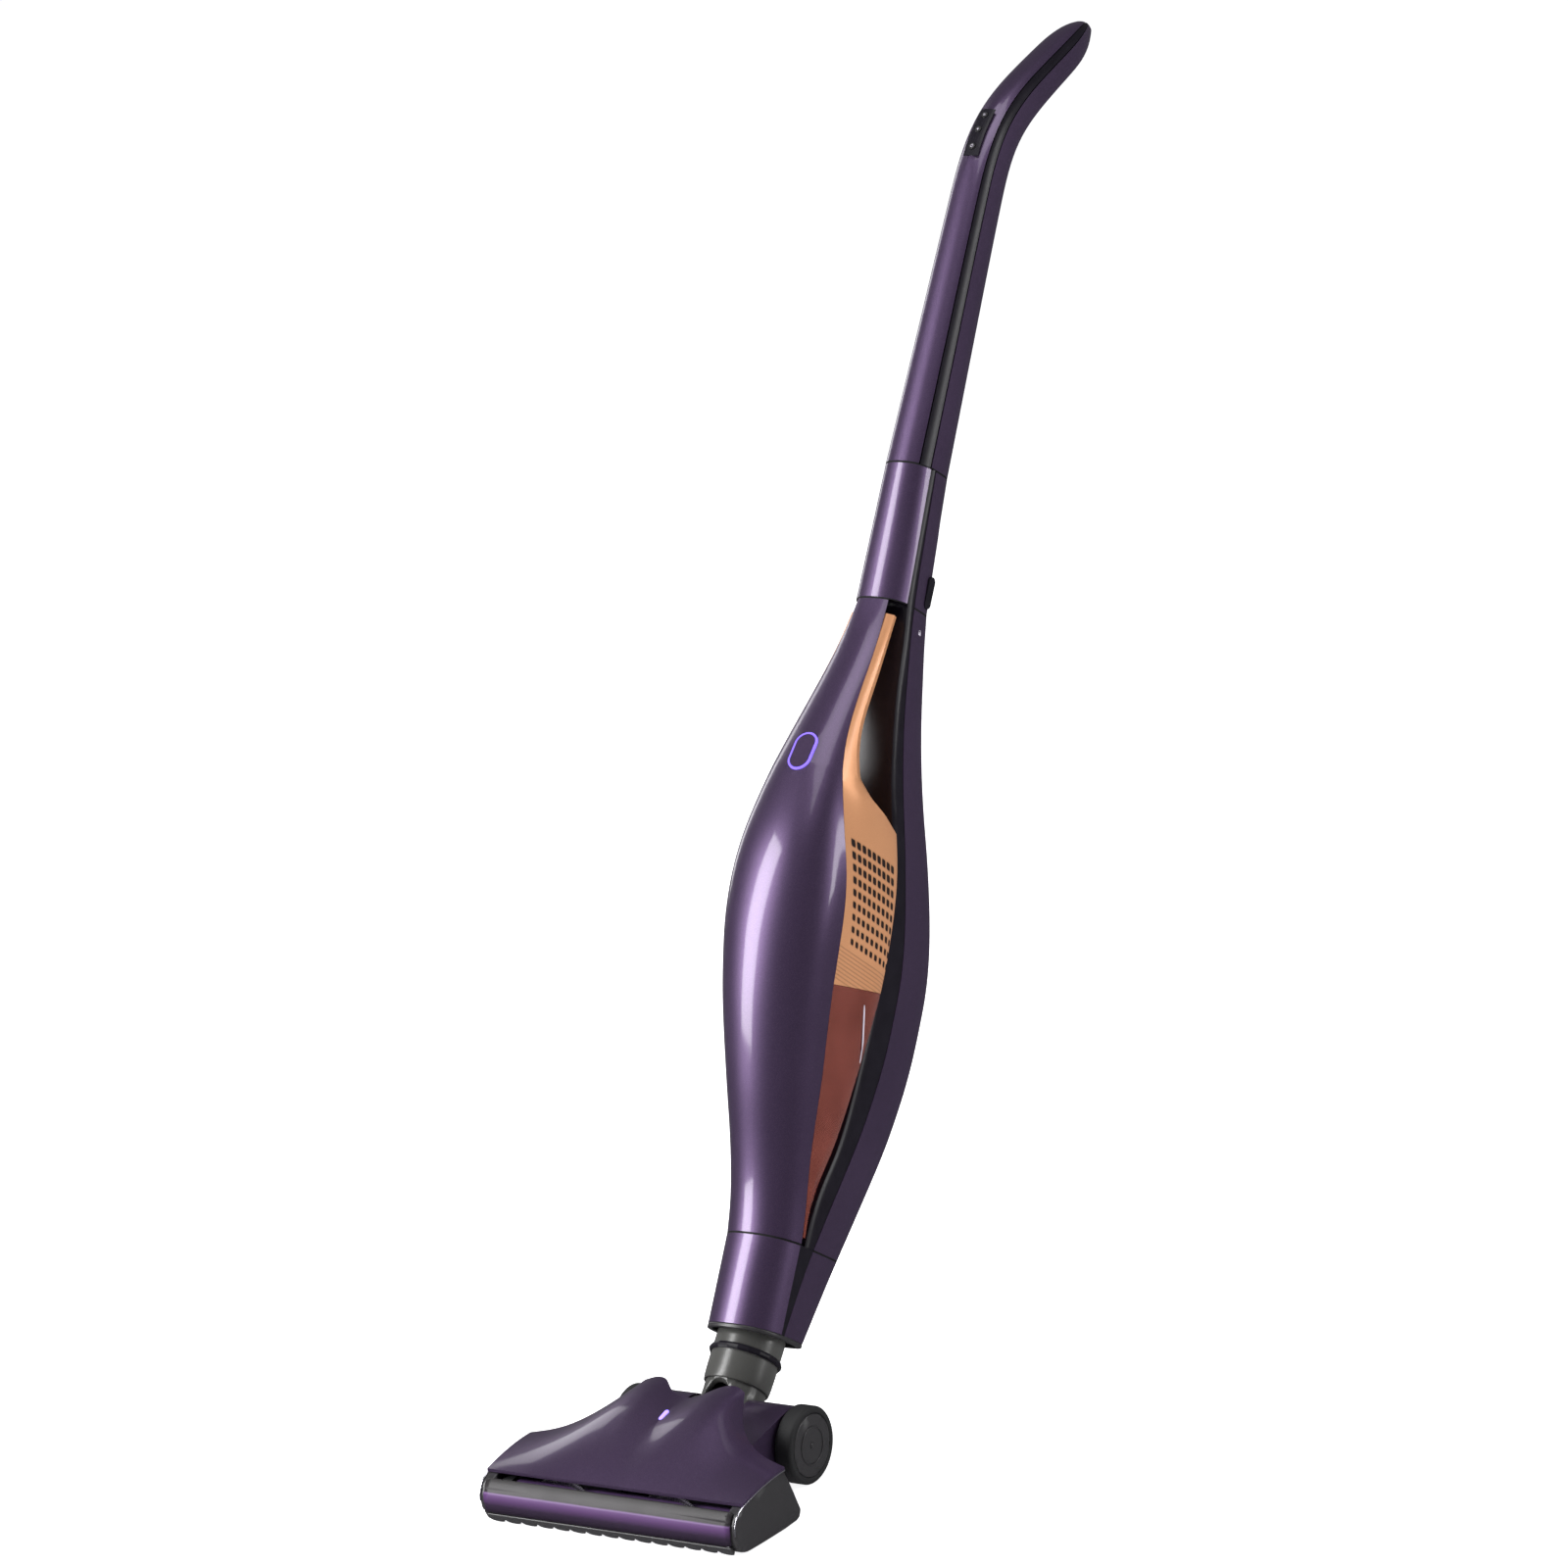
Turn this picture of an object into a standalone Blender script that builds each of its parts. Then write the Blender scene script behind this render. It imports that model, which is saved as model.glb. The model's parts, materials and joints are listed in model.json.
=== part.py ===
"""Cordless stick vacuum: floor head, swivel neck, bowed stick and a handheld that docks in it.

Metres, +Z up, the head faces -Y.  The origin is the middle of the felt strip on the sole.
The stick is drawn in its own frame: x across, y towards the back, z along the stick,
from the pitch axis.  Stations below are (height along the stick, value).
"""
import math

import bmesh
import bpy
from mathutils import Matrix, Vector

# ---------------------------------------------------------------- driving dimensions
GAP = 0.0003             # between two pieces that touch
RUN = 0.0010             # round a piece that turns or slides
WALL = 0.0024            # moulded walls
HEAD_HALF = 0.1170       # half the width of the floor head
HEAD_DEPTH = 0.0880      # front of the head to the back of its end caps
FELT_SETBACK = 0.0660    # front of the head to the middle of the felt strip
WHEEL_BACK = 0.1597      # front of the head to the wheel and pitch axis
WHEEL_RADIUS = 0.0306
WHEEL_WIDTH = 0.0150
WHEEL_OUT = 0.0830       # outer face of a wheel
RECLINE = math.radians(31.6)
NECK_TILT = math.radians(9.3)    # the neck leans this much more than the stick
NECK_RADIUS = 0.0272
DRUM_RADIUS = 0.0270
DRUM_HALF = 0.0245
HEM = 0.0820             # bottom edge of the stick
DOCK_FLOOR = 0.1530      # top of the lower body, under the handheld
DOCK_ROOF = 0.6620       # bottom of the frame's front shell, above the handheld
HANDLE_SEAM = 0.7740     # frame to handle
BIN_FOOT = 0.1590        # bottom of the dust bin
BIN_TOP = 0.3560         # dust bin to motor housing
SEAM_SLOPE = 0.165       # that seam rises towards the back
GRIP_END = 0.6500        # top of the handheld's grip
SHOULDER = (0.493, 0.499, 0.512)    # extra rings where the housing turns into the grip
ROLLER_RADIUS = 0.0120
BRISTLE_RADIUS = 0.0175
STRIP_ROOT = ROLLER_RADIUS + 0.0008
ROLLER_BACK = 0.0220     # front of the head to the roller's axis
ROLLER_HEIGHT = 0.0192
WINDOW_RADIUS = 0.0220
WINDOW_WALL = 0.0018
WINDOW_HALF = 0.1125     # half the length of the window in front of the roller
WINDOW_TOP = 130         # the window's and the comb's edges, in degrees round the roller
WINDOW_END = 206
COMB_END = 234
ROLLER_CHAMBER = 0.0205  # inner radius of the chamber round the roller
CAP_INNER = 0.1073       # inner face of an end cap
BELT_SIDE = -0.0945      # where the base stops and the belt's space begins
SOLE_HEIGHT = 0.0016     # underside of the sole above the floor
SHELL_FRONT = 0.0150     # front of the head to the top shell's front edge
SHELL_LOW = 0.0400       # height of that edge
SHELL_CROWN = 1.85       # how early the shell rises: 1 is a straight slope
REAR_PLACES = (0, 0.012, 0.022, 0.030, 0.038, 0.046, 0.062, 0.090, HEAD_HALF)
REAR_BACKS = (0.117, 0.1185, 0.1285, 0.1345, 0.1350, 0.1310, 0.099, 0.079, 0.073)
REAR_HEIGHTS = (0.0740, 0.0762, 0.0806, 0.0818, 0.0816, 0.0790, 0.0662, 0.0535, 0.0486)
LAMP_LONG = 0.0120       # slit lamp on the head
LAMP_WIDE = 0.0035
SOLE_WHEEL_X = 0.0850
SOLE_WHEEL_BACK = 0.0660
SOLE_WHEEL_RADIUS = 0.0070
SOLE_WHEEL_WIDE = 0.0080
SOLE_AXLE = 0.0016
SOLE_SLEEVE = 0.0027
FAIRING_INNER = 0.0255
FAIRING_OUTER = 0.0665
FAIRING_RADIUS = 0.0285
AXLE_RADIUS = 0.0030
AXLE_OUT = 0.0790
PIN_RADIUS = 0.0050      # the two pins that the neck pitches on
PIN_IN = 0.0208
PIN_OUT = 0.0400
DRIVE_BACK = 0.0595      # front of the head to the brush motor's axis
DRIVE_HEIGHT = 0.0260
DRIVE_RADIUS = 0.0125
JOURNAL = 0.0030         # radius of the roller's two journals
MOTOR_PULLEY = 0.0060
ROLLER_PULLEY = 0.0120
BELT_THICK = 0.0014
STRIP_HALF = 0.0012      # half the thickness of a bristle strip
HOSE_RADIUS = 0.0110
HOSE_RIB = 0.0016
HOSE_HEIGHT = 0.0235
CLEAR = 0.0004           # round buttons, pins and bores
YOKE_RADIUS = 0.0243
YOKE_TOP = 0.0600
SLEEVE_LOW = 0.0370
SLEEVE_TOP = 0.0860
SPIGOT_RADIUS = 0.0215
SPIGOT_TOP = 0.1040
COLLAR_AT = 0.0600
TAB_AT = 0.0490
TAB_TRAVEL = 0.0020
INLET_Y = -0.0030        # the air inlet under the dust bin, in the stick's frame
INLET_RADIUS = 0.0120
DUCT_LOW = 0.0210
DUCT_HIGH = 0.0135
RELEASE_AT = 0.6800
RELEASE_Y = 0.0045
RELEASE_LONG = 0.0260
RELEASE_WIDE = 0.0085
SPRING_LONG = 0.0090
SPRING_RADIUS = 0.0026
SPRING_WIRE = 0.0004
CORE_OPEN = 0.1450       # the black core is open at the back below this, for the neck's spigot
CONTACT_AT = 0.1100
CONTACT_OFFSET = 0.0090
CONTACT_WIDE = 0.0070
CONTACT_LONG = 0.0120
PANEL_LOW = 1.0330
PANEL_HIGH = 1.0710
PANEL_ANGLE = math.radians(17)
PANEL_THICK = 0.0008
KEY_RADIUS = 0.0026
KEY_INNER = 0.0018
KEY_PROUD = 0.0022
BUTTON_AT = 0.5210
RING_LONG = 0.0340
RING_WIDE = 0.0200
RING_THICK = 0.0015
FILTER_Y = -0.0060
FILTER_RADIUS = 0.0250
FILTER_TIP = 0.0140
FILTER_FLANGE = 0.0300
FILTER_LONG = 0.0700
MOTOR_Y = -0.0140
BATTERY_Y = -0.0460
BATTERY_DEEP = 0.0380
BATTERY_HALF = 0.0200
BATTERY_LONG = 0.0680
BATTERY_AT = 0.4180
BOARD_Y = -0.0700
BOARD_AT = 0.5000
ROUND = 24               # sides of a round piece
STATION = 0.0255         # spacing of the rings along the stick, the same for every piece

FRONT_Y = -FELT_SETBACK
PIVOT = Vector((0, FRONT_Y + WHEEL_BACK, WHEEL_RADIUS))


class Curve:
    """A smooth line through a few (place, value) stations that never overshoots them."""

    def __init__(self, *stations):
        self.x = [s[0] for s in stations]
        self.y = [s[1] for s in stations]
        steps = list(zip(self.x, self.x[1:], self.y, self.y[1:]))
        slopes = [(y1 - y0) / (x1 - x0) for x0, x1, y0, y1 in steps]
        self.m = [slopes[0]]
        for before, after in zip(slopes, slopes[1:]):
            same_way = before * after > 0
            self.m.append(2 * before * after / (before + after) if same_way else 0.0)
        self.m.append(slopes[-1])

    def __call__(self, x):
        if x <= self.x[0]:
            return self.y[0]
        if x >= self.x[-1]:
            return self.y[-1]
        i = max(k for k in range(len(self.x) - 1) if self.x[k] <= x)
        h = self.x[i + 1] - self.x[i]
        t = (x - self.x[i]) / h
        rise = t * t * (3 - 2 * t)
        start = self.m[i] * h * t * (1 - t) ** 2
        end = -self.m[i + 1] * h * t * t * (1 - t)
        return self.y[i] + (self.y[i + 1] - self.y[i]) * rise + start + end


# The stick's outline, station by station
FRONT = Curve((HEM, -0.023), (DOCK_FLOOR, -0.023), (0.180, -0.028), (0.211, -0.040),
              (0.270, -0.0666), (0.345, -0.093), (0.407, -0.104), (0.440, -0.1045),
              (0.472, -0.099), (0.520, -0.087), (0.574, -0.067), (0.608, -0.053),
              (0.641, -0.042), (DOCK_ROOF, -0.038), (HANDLE_SEAM, -0.040))
HALF = Curve((HEM, 0.033), (DOCK_FLOOR, 0.033), (0.211, 0.0345), (0.270, 0.039),
             (0.345, 0.046), (0.407, 0.050), (0.440, 0.0495), (0.472, 0.046),
             (0.506, 0.041), (0.540, 0.035), (0.574, 0.0295), (0.608, 0.026),
             (0.641, 0.0245), (DOCK_ROOF, 0.0248), (HANDLE_SEAM, 0.022))
WIDEST = Curve((HEM, 0.014), (DOCK_FLOOR, 0.013), (0.211, 0.000), (0.270, -0.022),
               (0.345, -0.046), (0.407, -0.056), (0.440, -0.056), (0.472, -0.052),
               (0.506, -0.046), (0.540, -0.040), (0.574, -0.035), (0.608, -0.026),
               (0.641, -0.017), (DOCK_ROOF, -0.010), (HANDLE_SEAM, -0.014))
BACK = Curve((HEM, 0.046), (0.138, 0.064), (0.202, 0.087), (0.267, 0.108), (0.331, 0.1175),
             (0.380, 0.117), (0.410, 0.111), (0.470, 0.086), (0.531, 0.0525), (0.593, 0.029),
             (DOCK_ROOF, 0.0155), (HANDLE_SEAM, 0.0085))
SPINE_HALF = Curve((HEM, 0.031), (0.330, 0.031), (0.500, 0.030), (0.600, 0.0285),
                   (DOCK_ROOF, 0.0245), (HANDLE_SEAM, 0.0215))
SPINE_DEPTH = Curve((HEM, 0.036), (DOCK_FLOOR, 0.044), (0.260, 0.047), (0.410, 0.048),
                    (0.540, 0.038), (0.600, 0.033), (DOCK_ROOF, 0.028), (HANDLE_SEAM, 0.026))
SHELL_ANGLE = Curve((DOCK_FLOOR, 80), (0.200, 80), (0.285, 90), (0.370, 90), (0.410, 88),
                    (0.480, 62), (0.535, 45), (0.600, 42), (0.650, 33), (DOCK_ROOF, 30))
HAND_BACK = Curve((DOCK_FLOOR, 0.012), (0.187, 0.013), (0.230, 0.028), (0.270, 0.034),
                  (0.355, 0.038), (0.410, 0.032), (0.455, 0.025), (0.487, 0.014),
                  (0.500, -0.030), (0.512, -0.047), (0.535, -0.050), (0.600, -0.033),
                  (GRIP_END, -0.022))
LINER_FRONT = Curve((DOCK_FLOOR, 0.014), (0.187, 0.0155), (0.230, 0.0305), (0.270, 0.0365),
                    (0.355, 0.0405), (0.410, 0.0345), (0.455, 0.0275), (0.490, 0.0165),
                    (0.520, 0.001), (0.560, -0.010), (0.600, -0.0175), (0.640, -0.0180),
                    (DOCK_ROOF, -0.0215), (HANDLE_SEAM, -0.0240))
CORE_EDGE = Curve((HEM, 0.004), (DOCK_FLOOR, 0.004))      # lower front shell to black core
FRAME_EDGE = Curve((DOCK_ROOF, -0.0220), (HANDLE_SEAM, -0.0245))
REAR_EDGE = Curve(*zip(REAR_PLACES, REAR_BACKS))
REAR_HEIGHT = Curve(*zip(REAR_PLACES, REAR_HEIGHTS))
FRONT_ROUND = 2.4        # superellipse powers: 2 is an ellipse, more is boxier
SPINE_ROUND = 3.5
SPINE_CORNER = 0.016     # depth of the spine's rounded back

# The handle's middle line (y, z in the stick's frame) and half sizes along it
HANDLE_LINE = ((-0.0135, HANDLE_SEAM), (-0.0130, 0.880), (-0.0125, 0.985), (-0.0115, 1.035),
               (-0.0020, 1.072), (0.0190, 1.104), (0.0430, 1.134), (0.0700, 1.167),
               (0.0890, 1.193))
HANDLE_HALF = Curve((0, 0.0220), (0.45, 0.0190), (0.65, 0.0180), (0.85, 0.0175), (1, 0.0160))
HANDLE_FRONT = Curve((0, 0.0265), (0.45, 0.0215), (0.65, 0.0190), (0.85, 0.0165), (1, 0.0145))
HANDLE_BACK = Curve((0, 0.0220), (0.45, 0.0195), (0.65, 0.0185), (0.85, 0.0160), (1, 0.0140))
HANDLE_STEPS = 15
TIP_SHARE = 0.07         # the part of the handle that rounds off to its tip
TIP_END = 0.45           # how small the section is where the tip is capped


# ---------------------------------------------------------------- materials
FINISHES = {             # colour, roughness, metallic, alpha
    "purple": ((0.055, 0.030, 0.075), 0.22, 0.35, 1.0),
    "black_gloss": ((0.008, 0.006, 0.010), 0.12, 0.0, 1.0),
    "graphite": ((0.060, 0.060, 0.064), 0.45, 0.0, 1.0),
    "copper": ((0.640, 0.330, 0.150), 0.32, 0.45, 1.0),
    "amber_clear": ((0.320, 0.090, 0.060), 0.10, 0.0, 0.55),
    "violet_clear": ((0.160, 0.080, 0.220), 0.12, 0.0, 0.60),
    "violet_light": ((0.300, 0.180, 0.900), 0.30, 0.0, 1.0),
    "rubber": ((0.018, 0.018, 0.020), 0.75, 0.0, 1.0),
    "steel": ((0.560, 0.560, 0.580), 0.25, 1.0, 1.0),
    "brass": ((0.780, 0.560, 0.240), 0.30, 1.0, 1.0),
    "board": ((0.020, 0.150, 0.070), 0.50, 0.0, 1.0),
    "white_filter": ((0.800, 0.800, 0.780), 0.80, 0.0, 1.0),
    "cell_wrap": ((0.060, 0.160, 0.420), 0.40, 0.0, 1.0),
    "bristle": ((0.030, 0.020, 0.040), 0.60, 0.0, 1.0),
    "felt": ((0.120, 0.110, 0.130), 0.95, 0.0, 1.0),
}


def make_material(name, finish):
    """A material of the piece's own, in one of the finishes above."""
    colour, roughness, metallic, alpha = FINISHES[finish]
    material = bpy.data.materials.new(name)
    material.use_nodes = True
    shader = material.node_tree.nodes["Principled BSDF"]
    shader.inputs["Base Color"].default_value = (*colour, 1.0)
    shader.inputs["Roughness"].default_value = roughness
    shader.inputs["Metallic"].default_value = metallic
    shader.inputs["Alpha"].default_value = alpha
    return material


# ---------------------------------------------------------------- making pieces
def clear_scene():
    for thing in list(bpy.data.objects):
        bpy.data.objects.remove(thing)


def empty(name, place, tilt, parent=None):
    """A frame that pieces hang from: at a place, leaning back by tilt."""
    frame = bpy.data.objects.new(name, None)
    bpy.context.collection.objects.link(frame)
    frame.location = place
    frame.rotation_euler = (-tilt, 0, 0)
    frame.parent = parent
    return frame


def piece(name, bm, finish, parent=None, origin=(0, 0, 0)):
    """Turn a bmesh into an object; origin is its place in its parent's frame."""
    bmesh.ops.recalc_face_normals(bm, faces=bm.faces)
    bmesh.ops.translate(bm, vec=-Vector(origin), verts=bm.verts)
    mesh = bpy.data.meshes.new(name)
    bm.to_mesh(mesh)
    bm.free()
    mesh.shade_smooth()
    mesh.set_sharp_from_angle(angle=math.radians(35))
    made = bpy.data.objects.new(name, mesh)
    bpy.context.collection.objects.link(made)
    made.location = origin
    made.parent = parent
    made.data.materials.append(make_material(name, finish))
    return made


def boolean(target, tool, operation):
    """Cut, join or trim a piece by a hidden tool."""
    tool.hide_render = True
    tool.display_type = "WIRE"
    change = target.modifiers.new(operation.lower(), "BOOLEAN")
    change.operation = operation
    change.object = tool
    change.solver = "EXACT"


def loft(rings, through=False):
    """Grow a face from ring to ring; through opens both ends and joins them as a tube wall."""
    bm = bmesh.new()
    first = bm.faces.new([bm.verts.new(point) for point in rings[0]])
    last = first
    for ring in rings[1:]:
        grown = bmesh.ops.extrude_face_region(bm, geom=[last])
        if last is not first:
            bmesh.ops.delete(bm, geom=[last], context="FACES_ONLY")
        last = next(g for g in grown["geom"] if isinstance(g, bmesh.types.BMFace))
        for vert, point in zip(last.verts, ring):
            vert.co = point
    if through:
        edges = [edge for face in (first, last) for edge in face.edges]
        bmesh.ops.delete(bm, geom=[first, last], context="FACES_ONLY")
        bmesh.ops.bridge_loops(bm, edges=edges)
    return bm


def disc(centre, axis, radius, sides=ROUND, squash=1.0):
    """A ring of points round an axis; squash flattens it along its second direction."""
    axis = Vector(axis).normalized()
    side = Vector((1, 0, 0)) if abs(axis.x) < 0.9 else Vector((0, 1, 0))
    up = axis.cross(side).normalized()
    side = up.cross(axis)
    points = []
    for i in range(sides):
        turn = 2 * math.pi * i / sides
        points.append(Vector(centre) + radius * (side * math.cos(turn) * squash + up * math.sin(turn)))
    return points


def rod(start, end, radius, sides=ROUND):
    axis = Vector(end) - Vector(start)
    return loft([disc(start, axis, radius, sides), disc(end, axis, radius, sides)])


def turned(start, axis, profile, sides=ROUND):
    """A solid of revolution: profile is (distance along the axis, radius)."""
    start, axis = Vector(start), Vector(axis).normalized()
    return loft([disc(start + axis * along, axis, radius, sides) for along, radius in profile])


def pipe(start, end, outer, inner, sides=ROUND):
    """A tube wall between two points, open at both ends."""
    axis = Vector(end) - Vector(start)
    return loft([disc(start, axis, outer, sides), disc(end, axis, outer, sides),
                 disc(end, axis, inner, sides), disc(start, axis, inner, sides)], through=True)


def group(*solids):
    """Several separate solids as one bmesh."""
    whole = bmesh.new()
    for solid in solids:
        mesh = bpy.data.meshes.new("solid")
        solid.to_mesh(mesh)
        solid.free()
        whole.from_mesh(mesh)
        bpy.data.meshes.remove(mesh)
    return whole


def block(low, high, bevel=0.0):
    """A box between two corners, with its edges rounded if a bevel is given."""
    low, high = Vector(low), Vector(high)
    bm = bmesh.new()
    size = Matrix.Diagonal((*(high - low), 1))
    bmesh.ops.create_cube(bm, size=1, matrix=Matrix.Translation((low + high) / 2) @ size)
    if bevel:
        bmesh.ops.bevel(bm, geom=bm.edges[:], offset=bevel, segments=2, profile=0.5,
                        affect="EDGES", material=-1)
    return bm


def prism(outline, low, high):
    """An outline of (y, z) points extruded across the head from x low to x high."""
    return loft([[Vector((low, y, z)) for y, z in outline],
                 [Vector((high, y, z)) for y, z in outline]])


def steps(low, high, count):
    return [low + (high - low) * i / (count - 1) for i in range(count)]


def heights(low, high):
    """Places along the stick for the rings: both ends and every STATION between them."""
    first, last = math.floor(low / STATION) + 1, math.ceil(high / STATION)
    return [low] + [i * STATION for i in range(first, last)] + [high]


# ---------------------------------------------------------------- sections of the stick
def power(value, exponent):
    return math.copysign(abs(value) ** (2 / exponent), value)


def front_point(w, angle, inset=0.0):
    """A point on the front shell's outline, angle from straight ahead."""
    half = HALF(w) - inset
    depth = WIDEST(w) - FRONT(w) - inset
    return half * power(math.sin(angle), FRONT_ROUND), WIDEST(w) - depth * power(math.cos(angle), FRONT_ROUND)


def front_angle(w, edge):
    """The angle at which the front outline reaches a given y."""
    depth = WIDEST(w) - FRONT(w)
    share = min(max((WIDEST(w) - edge) / depth, 0.0), 1.0)
    return math.acos(share ** (FRONT_ROUND / 2))


def band(points, w):
    return [Vector((x, y, w)) for x, y in points]


def front_band(w, angle, count=11):
    """The C-shaped section of a front shell: outer arc, then inner arc back."""
    turns = steps(-angle, angle, count)
    outer = [front_point(w, turn) for turn in turns]
    inner = [front_point(w, turn, WALL) for turn in reversed(turns)]
    edge = outer[-1][1]
    inner = [(x, min(y, edge)) for x, y in inner]
    return band(outer + inner, w)


def spine_side(w, inset=0.0, count=5):
    """Half of the spine's section from its front edge round to the middle of its back."""
    half = SPINE_HALF(w) - inset
    corner = min(SPINE_CORNER, SPINE_DEPTH(w) - 0.002)
    centre = BACK(w) - corner
    points = [(half, BACK(w) - SPINE_DEPTH(w))]
    for turn in steps(0, math.pi / 2, count):
        points.append((half * power(math.cos(turn), SPINE_ROUND),
                       centre + (corner - inset) * power(math.sin(turn), SPINE_ROUND)))
    return points


def mirrored(side):
    """A half section and its mirror image, as one open line; the last point is on x = 0."""
    return side + [(-x, y) for x, y in reversed(side[:-1])]


def spine_band(w):
    outer = mirrored(spine_side(w))
    inner = mirrored(spine_side(w, WALL))
    return band(outer + inner[::-1], w)


def hand_side(w, start, inset=0.0, along=4, corner=4):
    """Half of the handheld's side and back: from y = start to the middle of its back."""
    back = HAND_BACK(w) - inset
    join = max(back - 0.016, start + (back - start) * 0.35)
    points = []
    for y in steps(start, join, along):
        points.append((side_width(w, y) - inset, y))
    for turn in steps(0, math.pi / 2, corner)[1:]:
        points.append(((side_width(w, join) - inset) * power(math.cos(turn), 3),
                       join + (back - join) * power(math.sin(turn), 3)))
    return points


def side_width(w, y):
    """Half width of the handheld at a depth: the front outline, then sides that close slowly."""
    if y < WIDEST(w):
        share = (WIDEST(w) - y) / (WIDEST(w) - FRONT(w))
        return HALF(w) * (1 - min(share, 1) ** FRONT_ROUND) ** (1 / FRONT_ROUND)
    return HALF(w) - 0.07 * (y - WIDEST(w))


def shell_edge(w):
    """Where the handheld's front shell stops: half width and depth."""
    return front_point(w, math.radians(SHELL_ANGLE(w)))[1]


# ---------------------------------------------------------------- stick pieces
def make_lower_body(stick):
    """Front shell, black core and dark hem below the handheld."""
    places = heights(HEM, DOCK_FLOOR)
    rings = [front_band(w, front_angle(w, CORE_EDGE(w))) for w in places]
    piece("lower_front_shell", loft(rings), "purple", stick)

    rings = []
    for w in places:
        front, rear = CORE_EDGE(w) + GAP, BACK(w) - SPINE_DEPTH(w) - GAP
        half, inside = SPINE_HALF(w), SPINE_HALF(w) - WALL
        outer = [(half, front), (half, rear), (-half, rear), (-half, front)]
        inner = [(-inside, front), (-inside, rear - WALL), (inside, rear - WALL), (inside, front)]
        rings.append(band(outer + inner, w))
    core = piece("lower_core", loft(rings), "black_gloss", stick)
    inside = SPINE_HALF(HEM) - WALL - GAP
    room = block((-inside, CORE_EDGE(HEM), HEM - 0.01), (inside, BACK(HEM) + 0.02, CORE_OPEN))
    boolean(core, piece("core_room", room, "graphite", stick), "DIFFERENCE")

    top, bottom = HEM - GAP, HEM - 0.0035
    outer = hem_outline(0.0)
    inner = hem_outline(0.0035)
    rings = [band(outer, bottom), band(outer, top), band(inner, top), band(inner, bottom)]
    piece("hem_trim", loft(rings, through=True), "graphite", stick)


def hem_outline(inset):
    """The whole outline at the bottom of the stick, moved inwards by inset."""
    turns = steps(-math.pi / 2, math.pi / 2, 13)
    front = [front_point(HEM, turn, inset) for turn in turns]
    rear = mirrored(spine_side(HEM, inset))
    return front + rear[1:]


def make_spine(stick):
    """The bowed back strap and the black liner that closes it towards the handheld."""
    places = heights(HEM, HANDLE_SEAM - GAP)
    spine = piece("spine_shell", loft([spine_band(w) for w in places]), "purple", stick)

    rings = []
    for w in heights(DOCK_FLOOR + GAP, HANDLE_SEAM - GAP):
        half = SPINE_HALF(w) - GAP
        edge = BACK(w) - SPINE_DEPTH(w) - GAP
        face = min(LINER_FRONT(w), edge - 0.004)
        corner = min(0.005, edge - face)
        outer = [(half, edge), (half, face + corner), (half - 0.4 * corner, face + 0.3 * corner),
                 (half - 1.4 * corner, face)]
        inside = half - WALL
        inner = [(inside, edge), (inside, face + corner), (inside - 0.4 * corner, face + 0.3 * corner + WALL),
                 (inside - 1.4 * corner, face + WALL)]
        inner = [(x, min(y, edge)) for x, y in inner]
        line = outer + [(-x, y) for x, y in reversed(outer)]
        back = inner + [(-x, y) for x, y in reversed(inner)]
        rings.append(band(line + back[::-1], w))
    piece("spine_liner", loft(rings), "black_gloss", stick)
    return spine


def make_frame(stick):
    """The front shell between the handheld and the handle."""
    rings = []
    for w in heights(DOCK_ROOF, HANDLE_SEAM - GAP):
        rings.append(front_band(w, front_angle(w, FRAME_EDGE(w))))
    piece("frame_front_shell", loft(rings), "purple", stick)


# ---------------------------------------------------------------- handle
def handle_frames():
    """Centres, directions and sizes along the handle, from the seam to the tip."""
    along_y = Curve(*[(z, y) for y, z in HANDLE_LINE])
    low, high = HANDLE_LINE[0][1], HANDLE_LINE[-1][1]
    frames = []
    for i in range(HANDLE_STEPS):
        share = i / (HANDLE_STEPS - 1)
        share = 1 - (1 - share) ** 1.4
        z = low + (high - low) * share
        slope = (along_y(z + 0.001) - along_y(z - 0.001)) / 0.002
        if i == 0:
            slope = 0.0
        direction = Vector((0, slope, 1)).normalized()
        rest = (1 - share) / TIP_SHARE
        shrink = 1.0 if rest >= 1 else max(TIP_END, math.sqrt(1 - (1 - rest) ** 2))
        frames.append((Vector((0, along_y(z), z)), direction, share, shrink))
    return frames


def handle_section(points_of):
    """One ring per step of the handle; points_of gives (x, y) for a share and a shrink."""
    rings = []
    for centre, direction, share, shrink in handle_frames():
        back = Vector((0, direction.z, -direction.y))
        rings.append([centre + Vector((x, 0, 0)) + back * y for x, y in points_of(share, shrink)])
    return rings


def handle_point(share, shrink, angle, inset=0.0):
    """A point on the handle's outline, angle from straight ahead."""
    half = HANDLE_HALF(share) * shrink - inset
    reach = (HANDLE_FRONT(share) if math.cos(angle) > 0 else HANDLE_BACK(share)) * shrink - inset
    bulge = FRONT_ROUND if math.cos(angle) > 0 else SPINE_ROUND
    return half * power(math.sin(angle), bulge), -reach * power(math.cos(angle), bulge)


FRONT_STRIP = math.radians(40)
BACK_STRIP = math.radians(70)
CORE_STEP = 0.050        # the angle between a shell's edge and the core's shoulder


def handle_strip(low, high, wall):
    """The C-shaped section of a handle shell between two angles."""
    def points(share, shrink):
        turns = steps(low, high, 9)
        outer = [handle_point(share, shrink, turn) for turn in turns]
        inner = [handle_point(share, shrink, turn, wall) for turn in reversed(turns)]
        return outer + inner
    return points


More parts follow.
